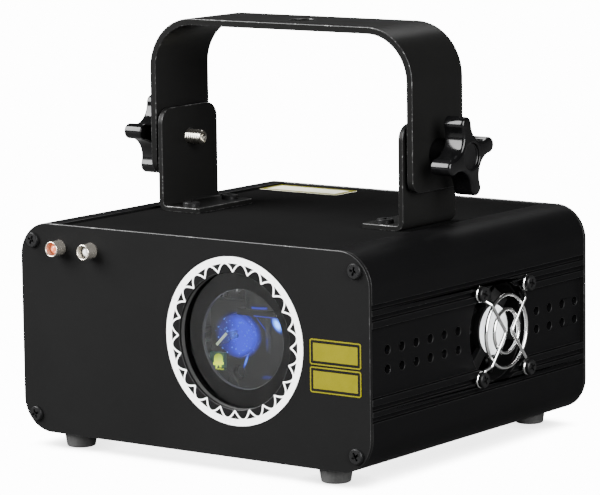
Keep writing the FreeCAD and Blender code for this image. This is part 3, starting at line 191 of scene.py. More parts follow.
def rubbed_edge(name, shade, bare, roughness, painted_highlight_height=None, speckle=0.35):
    """A worn edge: the thin coat breaks to lighter metal in short runs, plus a painted highlight above a
    given height.
    """
    material, shader, place = new_material(name, {"Specular IOR Level": 0.2})
    runs = noise(place, 120.0, 4.0, 0.65)
    nicks = noise(place, 900.0, 2.0)
    wear_and_highlight = (runs + speckle * (nicks - 0.5)).rise(0.54, 0.68)
    if painted_highlight_height:
        high = place.along("Z").rise(painted_highlight_height - 0.5 * mm, painted_highlight_height)
        # Above the height given, the edge is painted lighter and more metallic: a painted highlight on top of
        # the wear.
        wear_and_highlight = 0.2 * wear_and_highlight + high * (0.35 + 0.45 * wear_and_highlight)
    place.feed(shader, {"Base Color": wear_and_highlight.tint(shade, bare), "Metallic": 0.75 * wear_and_highlight,
                        "Roughness": roughness + 0.12 * (nicks - 0.5), "Normal": relief(nicks, 0.015 * mm)})
    return material


def placed(piece, body, slot, *replaced):
    """Puts a finished piece on its CAD body and hides the CAD nodes that it stands for.
    slot is not used.
    """
    if piece.name not in bpy.context.scene.collection.objects:
        bpy.context.scene.collection.objects.link(piece)
    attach(piece, body)
    if replaced:
        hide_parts(*replaced)
    return piece


def rebuilt(node, finish, edge=0.0, wear_and_highlight=None, other=None, segments=2):
    """A copy of a CAD node with its triangles merged to faces, its sharp edges broken and its rounds smooth.
    Its edge finish goes on the broken edges and carries their wear and any painted highlight; other is a
    second finish with the test for faces that take it."""
    mesh = nodes[node].data.copy()
    mesh.name = node + "_form"
    if "custom_normal" in mesh.attributes:
        mesh.attributes.remove(mesh.attributes["custom_normal"])
    shape = bmesh.new()
    shape.from_mesh(mesh)
    bmesh.ops.remove_doubles(shape, verts=shape.verts, dist=weld)
    bmesh.ops.dissolve_limit(shape, angle_limit=flat, verts=shape.verts, edges=shape.edges)
    shape.normal_update()
    for face in shape.faces:
        face.smooth = True
        face.material_index = 1 if other and other[1](face.calc_center_median(), face.normal) else 0
    shape.to_mesh(mesh)
    shape.free()
    mesh.materials.clear()
    mesh.materials.append(finish)
    if other:
        mesh.materials.append(other[0])
    piece = bpy.data.objects.new(node + "_piece", mesh)
    bpy.context.scene.collection.objects.link(piece)
    if edge:
        bevel = piece.modifiers.new("broken_edge", "BEVEL")
        bevel.width = edge
        bevel.segments = segments
        bevel.limit_method = "ANGLE"
        bevel.angle_limit = sharp
        bevel.use_clamp_overlap = False
        bevel.harden_normals = True
        if wear_and_highlight:
            mesh.materials.append(wear_and_highlight)
            bevel.material = len(mesh.materials) - 1
        graph = bpy.context.evaluated_depsgraph_get()
        piece.data = bpy.data.meshes.new_from_object(piece.evaluated_get(graph))
        piece.modifiers.clear()
    else:
        mesh.set_sharp_from_angle(angle=sharp)
    return placed(piece, nodes[node]["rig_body"], slot_of[node], node)


profile_finish = dark_coat("profile_anodise", (0.0020, 0.0020, 0.0021), 0.42, 0.02, 2600.0, 0.006 * mm,
                           lines=(1500.0, 5.0, 1500.0))
profile_edge = rubbed_edge("profile_rubbed_edge", (0.0035, 0.0035, 0.0036), (0.014, 0.014, 0.014), 0.42)
for node in ("side_profile_right", "side_profile_left"):
    rebuilt(node, profile_finish, 0.2 * mm, profile_edge)


# End panels: laser-cut steel sheet with a fine-textured matte black powder coat, screwed to the profiles'
# ends. The cut edges are broken before coating, so the coat is thin along the outline and the round aperture.
# The panels' top edges are painted lighter above this height: a painted highlight.
panel_highlight_height = cad_low.z + 85.2 * mm
panel_finish = dark_coat("panel_powder_coat", (0.0037, 0.0037, 0.0037), 0.60, 0.02, 3200.0, 0.016 * mm)
panel_edge_with_highlight = rubbed_edge("panel_thin_edge_with_highlight", (0.0045, 0.0045, 0.0046), (0.11, 0.11, 0.11), 0.5, panel_highlight_height)
for node in ("front_panel", "rear_panel"):
    rebuilt(node, panel_finish, 0.22 * mm, panel_edge_with_highlight)


# Ring print round the aperture: white ink screened on the front panel, a plain band with a looped line inside
# it that swings to and fro 24 times in one turn. The film of ink is thin and slightly uneven.
def new_tree(name, sizes):
    """An empty geometry tree with named inputs: its group input sockets by name, and its output node."""
    tree = bpy.data.node_groups.new(name, "GeometryNodeTree")
    for label, kind in sizes:
        tree.interface.new_socket(label, in_out="INPUT", socket_type="NodeSocket" + kind)
    tree.interface.new_socket("Geometry", in_out="OUTPUT", socket_type="NodeSocketGeometry")
    entry = tree.nodes.new("NodeGroupInput")
    given = {label: Socket(tree, entry.outputs[label]) for label, kind in sizes}
    return tree, given, tree.nodes.new("NodeGroupOutput")


def grown(name, mesh, tree, sizes):
    """The plain mesh that a geometry tree makes from a base mesh and its sizes."""
    piece = bpy.data.objects.new(name, mesh)
    bpy.context.scene.collection.objects.link(piece)
    modifier = piece.modifiers.new("shape", "NODES")
    modifier.node_group = tree
    for item in tree.interface.items_tree:
        if item.in_out == "INPUT" and item.name in sizes:
            modifier[item.identifier] = sizes[item.name]
    graph = bpy.context.evaluated_depsgraph_get()
    piece.data = bpy.data.meshes.new_from_object(piece.evaluated_get(graph))
    piece.modifiers.clear()
    return piece


def middle_of(node):
    low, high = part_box(node)
    return (low + high) / 2


white_ink, ink_shader, place = new_material("white_screen_ink", {"Specular IOR Level": 0.35})
thin = noise(place, 700.0, 3.0)
place.feed(ink_shader, {"Base Color": thin.rise(0.30, 0.46).tint((0.74, 0.74, 0.74), (0.86, 0.86, 0.85)),
                        "Roughness": 0.46 + 0.16 * thin, "Normal": relief(thin, 0.012 * mm)})

print_tree, given, end = new_tree("aperture_print", [
    ("Geometry", "Geometry"), ("Centre", "Vector"), ("Band Radius", "Float"), ("Band Width", "Float"),
    ("Crest Radius", "Float"), ("Tip Radius", "Float"), ("Line Width", "Float"), ("Loops", "Float"),
    ("Film", "Float"), ("Ink", "Material")])
film = given["Film"]
circle = {"Radius": given["Band Radius"], "Resolution": 192}
band = film.node("GeometryNodeCurvePrimitiveCircle", {"mode": "RADIUS"}, circle)
section = {"Width": given["Band Width"], "Height": film}
section = film.node("GeometryNodeCurvePrimitiveQuadrilateral", {}, section)
band = film.node("GeometryNodeCurveToMesh", {}, {"Curve": band, "Profile Curve": section})
circle = {"Radius": 1.0, "Resolution": 576}
loop = film.node("GeometryNodeCurvePrimitiveCircle", {"mode": "RADIUS"}, circle)
here = film.node("GeometryNodeInputPosition", {}, {})
turn = film.maths("ARCTAN2", here.along("Y"), here.along("X"))
swing = abs(film.maths("SINE", turn * given["Loops"] * 0.5))
radius = given["Tip Radius"] + (given["Crest Radius"] - given["Tip Radius"]) * swing
spot = film.node("ShaderNodeVectorMath", {"operation": "SCALE"}, {0: here, "Scale": radius})
loop = film.node("GeometryNodeSetPosition", {}, {"Geometry": loop, "Position": spot})
section = {"Width": given["Line Width"], "Height": film * 1.3}
section = film.node("GeometryNodeCurvePrimitiveQuadrilateral", {}, section)
loop = film.node("GeometryNodeCurveToMesh", {}, {"Curve": loop, "Profile Curve": section})
both = film.node("GeometryNodeJoinGeometry", {}, {"Geometry": [band, loop]})
both = film.node("GeometryNodeTransform", {}, {"Geometry": both, "Translation": given["Centre"],
                                               "Rotation": (math.pi / 2, 0.0, 0.0)})
both = film.node("GeometryNodeRealizeInstances", {}, {"Geometry": both})
both = film.node("GeometryNodeSetMaterial", {}, {"Geometry": both, "Material": given["Ink"]})
film.feed(end, {"Geometry": both})
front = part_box("front_panel")[0]
window = middle_of("window_glass")
ring = grown("aperture_print", bpy.data.meshes.new("print_base"), print_tree, {
    "Centre": (window.x, front.y - 0.02 * mm, window.z), "Band Radius": 29.85 * mm, "Band Width": 2.5 * mm,
    "Crest Radius": 28.75 * mm, "Tip Radius": 25.55 * mm, "Line Width": 0.62 * mm, "Loops": 24.0,
    "Film": 0.04 * mm, "Ink": white_ink})
ring.data.shade_flat()
placed(ring, "chassis", "panel_black")


# Plates: self-adhesive vinyl, two yellow ones on the front panel with a dark keyline and a pale one on the
# top cover. Each is die cut with round corners, lies flat with its adhesive and has a thin gloss laminate.
def joined(shape, first, second):
    """The faces of a band between two closed loops of corners."""
    count = len(first)
    following = [(i + 1) % count for i in range(count)]
    return [shape.faces.new((first[i], first[j], second[j], second[i])) for i, j in enumerate(following)]


def made_piece(name, shape, *finishes):
    """An object from a bmesh, which is freed."""
    mesh = bpy.data.meshes.new(name)
    shape.to_mesh(mesh)
    shape.free()
    for finish in finishes:
        mesh.materials.append(finish)
    return bpy.data.objects.new(name, mesh)


def rounded_plate(shape, low, high, corner, height, index, hole=None):
    """A flat plate with round corners in a bmesh's XY plane, or a frame if hole gives its inner inset."""
    def outline(inset, z):
        loop = []
        radius = max(corner - inset, 0.1 * mm)
        middles = [(high[0] - corner, high[1] - corner), (low[0] + corner, high[1] - corner),
                   (low[0] + corner, low[1] + corner), (high[0] - corner, low[1] + corner)]
        for quarter, (x, y) in enumerate(middles):
            sx = 1 if quarter in (0, 3) else -1
            sy = 1 if quarter < 2 else -1
            if inset > corner:
                x, y = x - sx * (inset - corner), y - sy * (inset - corner)
            for step in range(7):
                angle = math.radians(90 * quarter + 15 * step)
                spot = (x + radius * math.cos(angle), y + radius * math.sin(angle), z)
                loop.append(shape.verts.new(spot))
        return loop

    foot, top = outline(0.0, 0.0), outline(0.0, height)
    faces = joined(shape, foot, top)
    if hole:
        inner_foot, inner_top = outline(hole, 0.0), outline(hole, height)
        for first, second in ((top, inner_top), (inner_top, inner_foot), (inner_foot, foot)):
            faces += joined(shape, first, second)
    else:
        faces += [shape.faces.new(top), shape.faces.new(foot[::-1])]
    for face in faces:
        face.material_index = index


def vinyl(name, colour, faded):
    """A printed film with a soft unevenness of colour, dulled in patches."""
    material, shader, place = new_material(name, {"Coat Weight": 0.04, "Coat Roughness": 0.18,
                                                  "Specular IOR Level": 0.08})
    patch = noise(place, 160.0, 4.0, 0.6)
    dots = noise(place, 2400.0, 1.0)
    place.feed(shader, {"Base Color": (0.75 * patch + 0.25 * dots).rise(0.32, 0.66).tint(faded, colour),
                        "Roughness": 0.38 + 0.18 * patch, "Normal": relief(patch + 0.2 * dots, 0.02 * mm)})
    return material


yellow_vinyl = vinyl("yellow_vinyl", (0.104, 0.094, 0.0), (0.092, 0.083, 0.0))
keyline_ink = vinyl("keyline_ink", (0.0006, 0.0006, 0.0005), (0.0012, 0.0011, 0.0009))
cream_vinyl = vinyl("cream_vinyl", (0.62, 0.61, 0.50), (0.54, 0.53, 0.42))


def stuck_plate(name, low, high, turn, lift, colours, frame_inset, frame_width):
    """A plate drawn flat, with a frame printed inside its edge, then turned and moved to its place."""
    thickness, corner = 0.12 * mm, 0.9 * mm
    ink, ink_corner = 0.02 * mm, 0.5 * mm
    shape = bmesh.new()
    rounded_plate(shape, low, high, corner, thickness, 0)
    inner_low = [value + frame_inset for value in low]
    inner_high = [value - frame_inset for value in high]
    start = len(shape.verts)
    rounded_plate(shape, inner_low, inner_high, ink_corner, ink, 1, frame_width)
    shape.verts.ensure_lookup_table()
    for vert in shape.verts[start:]:
        vert.co.z += thickness
    shape.transform(Matrix.Translation(lift) @ turn)
    return made_piece(name, shape, *colours)


upright = Matrix.Rotation(math.pi / 2, 4, "X")
plate_left, plate_right, plate_height = 54.3 * mm, 76.7 * mm, 9.4 * mm
for number, foot in enumerate((38.1, 28.0), 1):
    base = front.z + foot * mm
    plate = stuck_plate("front_plate_%d" % number, (plate_left, base), (plate_right, base + plate_height),
                        upright, Vector((0, front.y, 0)), (yellow_vinyl, keyline_ink), 0.5 * mm, 1.05 * mm)
    placed(plate, "chassis", "panel_black")
cover_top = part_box("top_cover")[1].z
plate = stuck_plate("cover_plate", (-62.5 * mm, 53.5 * mm), (-24 * mm, 68.5 * mm), Matrix.Identity(4),
                    Vector((0, 0, cover_top)), (cream_vinyl, yellow_vinyl), 0.1 * mm, 2.4 * mm)
placed(plate, "chassis", "cover_black")


# Covers: two sheets that slide into the profiles' slots before the second end panel goes on.
# They have the same powder coat as the panels, in a coarser grain.
cover_finish = dark_coat("cover_powder_coat", (0.0042, 0.0042, 0.0042), 0.68, 0.0, 2400.0, 0.02 * mm)
for node in ("top_cover", "bottom_plate"):
    rebuilt(node, cover_finish, 0.15 * mm)


# Screws: pan heads with a cross recess, blackened on the panels, brackets and fan, and zinc plated at the
# sockets. Each head sits on its seat with its recess turned as the driver left it.
def solid_boxes(node):
    """Lowest and highest corner of each separate solid in a CAD node."""
    shape = bmesh.new()
    shape.from_mesh(nodes[node].data)
    bmesh.ops.remove_doubles(shape, verts=shape.verts, dist=weld)
    left = set(shape.verts)
    boxes = []
    while left:
        reached = [left.pop()]
        points = []
        while reached:
            vert = reached.pop()
            points.append(vert.co.copy())
            for edge in vert.link_edges:
                beside = edge.other_vert(vert)
                if beside in left:
                    left.remove(beside)
                    reached.append(beside)
        boxes.append((Vector(map(min, zip(*points))), Vector(map(max, zip(*points)))))
    shape.free()
    return sorted(boxes, key=lambda box: tuple(round(value, 5) for value in box[0]))


def lifted(geometry, height):
    up = height.node("ShaderNodeCombineXYZ", {}, {"Z": height})
    return height.node("GeometryNodeTransform", {}, {"Geometry": geometry, "Translation": up})


head_tree, given, end = new_tree("pan_head", [
    ("Geometry", "Geometry"), ("Head Diameter", "Float"), ("Head Height", "Float"), ("Recess Span", "Float"),
    ("Recess Width", "Float"), ("Recess Depth", "Float"), ("Finish", "Material")])
tall, wide, sunk = given["Head Height"], given["Head Diameter"] * 0.5, given["Recess Depth"]
skirt = tall.node("GeometryNodeMeshCylinder", {}, {"Vertices": 40, "Radius": wide, "Depth": tall})
skirt = lifted(skirt, tall * 0.5)
dome = tall.node("GeometryNodeMeshUVSphere", {}, {"Segments": 40, "Rings": 24, "Radius": 1.0})
bulge = tall.node("ShaderNodeCombineXYZ", {}, {"X": wide * 1.12, "Y": wide * 1.12, "Z": tall * 1.6})
dome = tall.node("GeometryNodeTransform", {}, {"Geometry": dome, "Scale": bulge})
head = tall.node("GeometryNodeMeshBoolean", {"operation": "INTERSECT"}, {"Mesh 2": [skirt, dome]})
arms = []
for span, width in (("Recess Span", "Recess Width"), ("Recess Width", "Recess Span")):
    size = tall.node("ShaderNodeCombineXYZ", {}, {"X": given[span], "Y": given[width], "Z": sunk * 2})
    arms.append(lifted(tall.node("GeometryNodeMeshCube", {}, {"Size": size}), tall))
cone = tall.node("GeometryNodeMeshCone", {}, {"Vertices": 24, "Radius Top": given["Recess Span"] * 0.36,
                                              "Radius Bottom": 0.0, "Depth": sunk * 2})
arms.append(lifted(cone, tall - sunk))
head = tall.node("GeometryNodeMeshBoolean", {"operation": "DIFFERENCE"}, {"Mesh 1": head, "Mesh 2": arms})
facing = tall.node("GeometryNodeInputNamedAttribute", {"data_type": "FLOAT_VECTOR"}, {"Name": "facing"})
angle = tall.node("GeometryNodeInputNamedAttribute", {"data_type": "FLOAT"}, {"Name": "turn"})
aim = tall.node("FunctionNodeAlignRotationToVector", {"axis": "Z"}, {"Vector": facing})
twist = tall.node("FunctionNodeAxisAngleToRotation", {}, {"Axis": (0.0, 0.0, 1.0), "Angle": angle})
aim = tall.node("FunctionNodeRotateRotation", {"rotation_space": "LOCAL"},
                {"Rotation": aim, "Rotate By": twist})
heads = tall.node("GeometryNodeInstanceOnPoints", {}, {"Points": given["Geometry"], "Instance": head,
                                                       "Rotation": aim})
heads = tall.node("GeometryNodeRealizeInstances", {}, {"Geometry": heads})
heads = tall.node("GeometryNodeSetMaterial", {}, {"Geometry": heads, "Material": given["Finish"]})
tall.feed(end, {"Geometry": heads})


def screw_heads(node, proud, height, finish, facing_of):
    """Pan heads in the places of a CAD node's screws, each on the side that its lowest corner gives.
    proud is how far the CAD heads stand off their seat, and height how tall these heads are."""
    boxes = solid_boxes(node)
    mesh = bpy.data.meshes.new(node + "_seats")
    facings = [Vector(facing_of(low)) for low, high in boxes]
    seats = []
    for (low, high), facing in zip(boxes, facings):
        axis = max(range(3), key=lambda index: abs(facing[index]))
        seat = (low + high) / 2
        seat[axis] = (high[axis] - proud) if facing[axis] > 0 else (low[axis] + proud)
        seats.append(seat)
    mesh.from_pydata(seats, [], [])
    mesh.attributes.new("facing", "FLOAT_VECTOR", "POINT")
    mesh.attributes.new("turn", "FLOAT", "POINT")
    first_turn, next_turn = 0.35, 0.83
    for index, facing in enumerate(facings):
        mesh.attributes["facing"].data[index].vector = facing
        mesh.attributes["turn"].data[index].value = first_turn + next_turn * index
    low, high = boxes[0]
    axis = max(range(3), key=lambda index: abs(facings[0][index]))
    diameter = (high - low)[(axis + 1) % 3]
    piece = grown(node + "_heads", mesh, head_tree, {
        "Head Diameter": diameter, "Head Height": height, "Recess Span": 0.58 * diameter,
        "Recess Width": 0.15 * diameter, "Recess Depth": 0.62 * height, "Finish": finish})
    piece.data.shade_smooth()
    piece.data.set_sharp_from_angle(angle=math.radians(28))
    return placed(piece, nodes[node]["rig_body"], slot_of[node], node)


def plated(name, shade, metallic, roughness, scratch, depth, level=0.5):
    """A plated or blackened metal: turned grain, handling marks and a little unevenness of tone."""
    material, shader, place = new_material(name, {"Specular IOR Level": level, "Metallic": metallic})
    marks = noise(place, scratch, 4.0, 0.7)
    tone = noise(place, 90.0, 3.0)
    dark = [0.72 * value for value in shade]
    place.feed(shader, {"Base Color": (0.5 * marks + 0.5 * tone).rise(0.3, 0.7).tint(dark, shade),
                        "Roughness": roughness + 0.22 * (marks - 0.5), "Normal": relief(marks, depth)})
    return material


black_screw = plated("blackened_steel", (0.0060, 0.0060, 0.0062), 0.2, 0.36, 1400.0, 0.012 * mm, 0.12)
zinc_plate = plated("zinc_plate", (0.58, 0.58, 0.59), 1.0, 0.30, 1200.0, 0.008 * mm)
screw_heads("panel_screws", 1.8 * mm, 1.2 * mm, black_screw, lambda low: (0, -1 if low.y < 0 else 1, 0))
screw_heads("bracket_screws", 1.6 * mm, 1.6 * mm, black_screw, lambda low: (0, 0, 1))
screw_heads("fan_screws", 1.6 * mm, 1.6 * mm, black_screw, lambda low: (1, 0, 0))
screw_heads("connector_screws", 1.6 * mm, 1.6 * mm, zinc_plate, lambda low: (0, 1, 0))
for node in ("foot_screws", "bracket_nuts", "fan_nuts"):
    rebuilt(node, zinc_plate, 0.12 * mm)


# Feet: four moulded black rubber cones on the lips of the profiles, each drawn up by a sunk screw. The rubber
# is matte with a faint bloom. The friction washers at the yoke and the window's gasket are of the same kind.
foot_rubber, rubber_shader, place = new_material("foot_rubber", {"Specular IOR Level": 0.3})
pores = noise(place, 1800.0, 3.0)
bloom = (0.7 * noise(place, 70.0, 4.0, 0.6) + 0.3 * pores).rise(0.35, 0.75)
place.feed(rubber_shader, {"Base Color": bloom.tint((0.014, 0.014, 0.014), (0.034, 0.034, 0.033)),
                           "Roughness": 0.74 + 0.16 * (pores - 0.5), "Normal": relief(pores, 0.03 * mm)})
for node in ("rubber_feet", "friction_washers", "window_gasket"):
    rebuilt(node, foot_rubber, 0.2 * mm)


# Brackets and yoke: folded steel strap in satin black powder coat, the yoke one bar bent twice into a U.
# The coat is glossier on the cut edges, and edges that rub show a thin bright line where it is polished.
satin_black = dark_coat("satin_black_coat", (0.0037, 0.0037, 0.0036), 0.34, 0.03, 1900.0, 0.010 * mm)
polished_edge = rubbed_edge("polished_coat_edge", (0.0038, 0.0038, 0.0038), (0.075, 0.075, 0.074), 0.34,
                            speckle=1.0)
cut_edge = dark_coat("glossy_cut_edge", (0.0030, 0.0030, 0.0029), 0.24, 0.9, 1900.0, 0.003 * mm)
for node in ("bracket_left", "bracket_right", "yoke"):
    rebuilt(node, satin_black, 0.3 * mm, polished_edge, (cut_edge, lambda p, facing: abs(facing.y) > 0.15), 3)


# Star knobs: glossy black mouldings over a steel stud. Moulding leaves a very slight ripple under the shine.
# The stud's rolled thread is one helical surface, whose tip stands proud inside each bracket.
def moulding(name, shade, roughness, coat, ripple, depth, level=0.5, mark=None):
    """A moulded plastic: slow ripple from the tool, fine grain and smears from hands.
    mark places white ink on it."""
    material, shader, place = new_material(name, {"Specular IOR Level": level, "Coat Roughness": 0.08,
                                                  "Coat Weight": coat})
    wave = noise(place, ripple, 3.0)
    fine = noise(place, 2600.0, 2.0)
    smear = noise(place, 95.0, 4.0, 0.65)
    tone = smear.rise(0.35, 0.75).tint(shade, [1.6 * value + 0.001 for value in shade])
    if mark:
        tone = mark(place).tint(tone, (0.62, 0.62, 0.60))
    place.feed(shader, {"Base Color": tone,
                        "Roughness": roughness + 0.14 * (smear - 0.5) + 0.05 * (fine - 0.5),
                        "Normal": relief(0.8 * wave + 0.2 * fine, depth)})
    return material


knob_gloss = moulding("knob_gloss_black", (0.0014, 0.0014, 0.0015), 0.14, 0.07, 170.0, 0.03 * mm, 0.15)
for node in ("knob_left", "knob_right"):
    rebuilt(node, knob_gloss)

stud_steel = plated("stud_steel", (0.44, 0.42, 0.37), 0.975, 0.19, 900.0, 0.002 * mm)
thread_pitch, thread_depth, tip_chamfer = 1.0 * mm, 0.55 * mm, 0.7 * mm
sides, rings_per_pitch = 40, 8


def threaded_stud(node, outward):
    """A stud whose surface is one helix of a V thread, flat at its root and hollow at its tip."""
    low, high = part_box(node)
    middle = (low + high) / 2
    outer = (high.z - low.z) / 2
    count = int((high.x - low.x) / thread_pitch * rings_per_pitch)
    shape = bmesh.new()

    def row_at(x, radii):
        row = []
        for index, radius in enumerate(radii):
            angle = 2 * math.pi * index / sides
            spot = (x, middle.y + radius * math.cos(angle), middle.z + radius * math.sin(angle))
            row.append(shape.verts.new(spot))
        return row

    rows = []
    for step in range(count + 1):
        x = low.x + (high.x - low.x) * step / count
        from_tip = (x - low.x) if outward > 0 else (high.x - x)
        limit = outer - max(0.0, tip_chamfer - from_tip)
        phases = [(x / thread_pitch - index / sides) % 1.0 for index in range(sides)]
        radii = [min(outer - thread_depth * (1 - abs(2 * phase - 1)), limit) for phase in phases]
        rows.append(row_at(x, radii))
    for first, second in zip(rows, rows[1:]):
        joined(shape, first, second)
    tip, root = (rows[0], rows[-1]) if outward > 0 else (rows[-1], rows[0])
    shape.faces.new(root)
    for inset, sunk in ((0.60, 0.0), (0.46, 0.7), (0.14, 0.9), (0.10, 0.35)):
        cup = row_at(tip[0].co.x + outward * sunk * mm, [inset * outer] * sides)
        joined(shape, tip, cup)
        tip = cup
    shape.faces.new(tip)
    bmesh.ops.recalc_face_normals(shape, faces=shape.faces)
    piece = made_piece(node + "_thread", shape, stud_steel)
    piece.data.shade_smooth()
    piece.data.set_sharp_from_angle(angle=math.radians(50))
    return placed(piece, nodes[node]["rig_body"], slot_of[node], node)


threaded_stud("knob_left_stud", -1)
threaded_stud("knob_right_stud", 1)


# Beam window: a float glass disc on a rubber gasket, held to the back of the front panel by a moulded cup.
# The glass is bloomed on both sides and clean but for a little haze, so the dark inside shows through it.
window_glass, glass_shader, place = new_material("window_glass", {
    "IOR": 1.40, "Transmission Weight": 1.0, "Base Color": (0.93, 0.96, 0.97, 1.0)})
haze = noise(place, 60.0, 5.0, 0.6).rise(0.45, 0.8)
place.feed(glass_shader, {"Roughness": 0.015 + 0.05 * haze})
rebuilt("window_glass", window_glass)
cup_black = moulding("cup_matte_black", (0.012, 0.012, 0.0122), 0.6, 0.0, 300.0, 0.002 * mm)
rebuilt("window_retainer", cup_black, 0.2 * mm)


# Indicators: two nickel-plated brass bezels pressed through the panel, one with a lit red lamp and one clear.
# The lamps are round-nosed mouldings sunk a little inside their bezels.
nickel = plated("bright_nickel", (0.80, 0.75, 0.66), 0.92, 0.20, 2600.0, 0.0001 * mm)
rebuilt("indicator_bezels", nickel, 0.25 * mm, segments=4)


def from_axis(place, middle, across):
    """How far a point lies from the axis through middle. across is 0 along that axis and 1 on the others."""
    offset = place.node("ShaderNodeVectorMath", {"operation": "SUBTRACT"}, {0: place, 1: middle})
    offset = place.node("ShaderNodeVectorMath", {"operation": "MULTIPLY"}, {0: offset, 1: across})
    return place.node("ShaderNodeVectorMath", {"operation": "LENGTH"}, {0: offset}, "Value")


def lamp_lens(name, colour, core, glow, strength, node, roughness):
    """A lamp's lens, brightest in the middle of its nose where the chip lies."""
    low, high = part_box(node)
    material, shader, place = new_material(name, {"Specular IOR Level": 0.5, "Emission Strength": strength,
                                                  "Coat Weight": 0.6, "Coat Roughness": 0.06})
    cloudy = noise(place, 1500.0, 2.0)
    reach = from_axis(place, (low + high) / 2, (1.0, 0.0, 1.0)) + 0.3 * mm * (cloudy - 0.5)
    bright = reach.rise(0.5 * (high.x - low.x), 0.0)
    place.feed(shader, {"Base Color": bright.tint(colour, core),
                        "Emission Color": bright.tint([0.35 * value for value in glow], glow),
                        "Roughness": roughness + 0.1 * (cloudy - 0.5)})
    return material


red_lens = lamp_lens("lit_red_lens", (0.12, 0.012, 0.006), (0.16, 0.04, 0.02), (1.0, 0.24, 0.10), 2.0,
                     "power_indicator", 0.25)
# The clear lamp is unlit; its faint emission, brightest in the middle, is a painted glow.
clear_lens = lamp_lens("clear_lens", (0.34, 0.34, 0.33), (0.72, 0.72, 0.70), (0.5, 0.5, 0.48), 0.05,
                       "signal_indicator", 0.15)
rebuilt("power_indicator", red_lens)
rebuilt("signal_indicator", clear_lens)


# Cooling fan: a moulded frame with a seven-bladed rotor behind the motor's hub, which carries a white paper
# label. A chromed wire finger guard, welded from two rings and two bent wires, lies under its screws.
fan_plastic = moulding("fan_moulding", (0.0016, 0.0016, 0.0017), 0.50, 0.0, 260.0, 0.03 * mm, 0.12)
rebuilt("fan_frame", fan_plastic, 0.25 * mm)
rebuilt("fan_rotor", fan_plastic, 0.12 * mm)
chrome = plated("bright_chrome", (0.88, 0.88, 0.87), 1.0, 0.09, 700.0, 0.003 * mm)
rebuilt("fan_guard", chrome)

hub = middle_of("fan_frame")
hub_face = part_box("fan_frame")[1].x
label_radius, label_face, label_thickness, rim_radius = 9.4 * mm, 9.3 * mm, 0.1 * mm, 8.3 * mm
label_paper, paper_shader, place = new_material("label_paper", {"Specular IOR Level": 0.3})
fibre = noise(place, 900.0, 4.0, 0.6)
rim = abs(from_axis(place, hub, (0.0, 1.0, 1.0)) - rim_radius).rise(0.28 * mm, 0.18 * mm)
place.feed(paper_shader, {"Base Color": fibre.rise(0.3, 0.7).tint((0.80, 0.82, 0.84), (0.89, 0.91, 0.93)),
                          "Roughness": 0.55 + 0.2 * (fibre - 0.5) - 0.1 * rim,
                          "Normal": relief(fibre, 0.02 * mm)})
shape = bmesh.new()
bmesh.ops.create_cone(shape, cap_ends=True, segments=64, radius1=label_radius, radius2=label_face,
                      depth=label_thickness)
shape.transform(Matrix.Translation((hub_face + label_thickness / 2, hub.y, hub.z))
                @ Matrix.Rotation(math.pi / 2, 4, "Y"))
placed(made_piece("hub_label", shape, label_paper), "chassis", "fan_plastic")


# Optics inside: a milled bench on brass posts, finned laser modules, a combiner and the two-mirror scanner.
# They are clean machined parts; the stray blue light from the scanner over what the window shows is painted
# light, an emission colour on the scanner's motors and plate.
dark_anodised = plated("dark_anodised", (0.0025, 0.0025, 0.0027), 0.2, 0.42, 500.0, 0.01 * mm, 0.1)
brass = plated("turned_brass", (0.62, 0.46, 0.20), 1.0, 0.30, 700.0, 0.008 * mm)
mirror_coat = plated("mirror_coating", (0.16, 0.17, 0.17), 0.6, 0.20, 300.0, 0.001 * mm, 0.2)
mirror_coat.node_tree.nodes["Principled BSDF"].inputs["Alpha"].default_value = 0.4
for node in ("optical_bench", "red_laser", "blue_laser", "optics_mounts"):
    rebuilt(node, dark_anodised, 0.2 * mm)
rebuilt("standoffs", brass, 0.15 * mm)
for node in ("fixed_optics", "scanner_x_mirror"):
    rebuilt(node, mirror_coat)

# The y mirror's front edge gets a painted glint: a yellow-green emission on that edge, fading out within 0.6
# mm.
mirror_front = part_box("scanner_y_mirror")[0].y
lit_mirror = mirror_coat.copy()
lit_mirror.name = "lit_mirror_coating"
place = Socket(lit_mirror.node_tree).node("ShaderNodeTexCoord", {}, {}, "Object")
painted_edge_glint = place.along("Y").rise(mirror_front + 0.6 * mm, mirror_front + 0.2 * mm)
place.feed(lit_mirror.node_tree.nodes["Principled BSDF"], {
    "Emission Strength": 1.5, "Emission Color": painted_edge_glint.tint((0.0, 0.0, 0.0), (0.85, 1.0, 0.62))})
rebuilt("scanner_y_mirror", lit_mirror)

disc = middle_of("scanner_y_mirror")
disc_x, disc_z = disc.x / mm, disc.z / mm
shelf_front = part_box("scanner_bracket")[0].y
plate_behind, plate_before = -42.0 * mm, -42.8 * mm
lip_start, lip_end, lip_middle, lip_half = 18.2 * mm, 18.8 * mm, 57.3 * mm, 1.7 * mm
# Each spot of light: the x and z of its middle, its half width and half height, all in mm, and its slant.
disc_spot = (disc_x, disc_z, 10.6, 8.6)
core_spot = (disc_x - 1.2, disc_z + 0.4, 3.0, 2.8)
burst_spot = (18.8, 50.4, 3.4, 4.2, -0.45)
streak_spot = (4.1, 35.5, 0.75, 3.6, 0.4)
slant_spot = (11.6, 49.8, 0.32, 3.6, -0.95)
wedge_spot = (13.6, 30.2, 3.2, 1.1, 1.2)


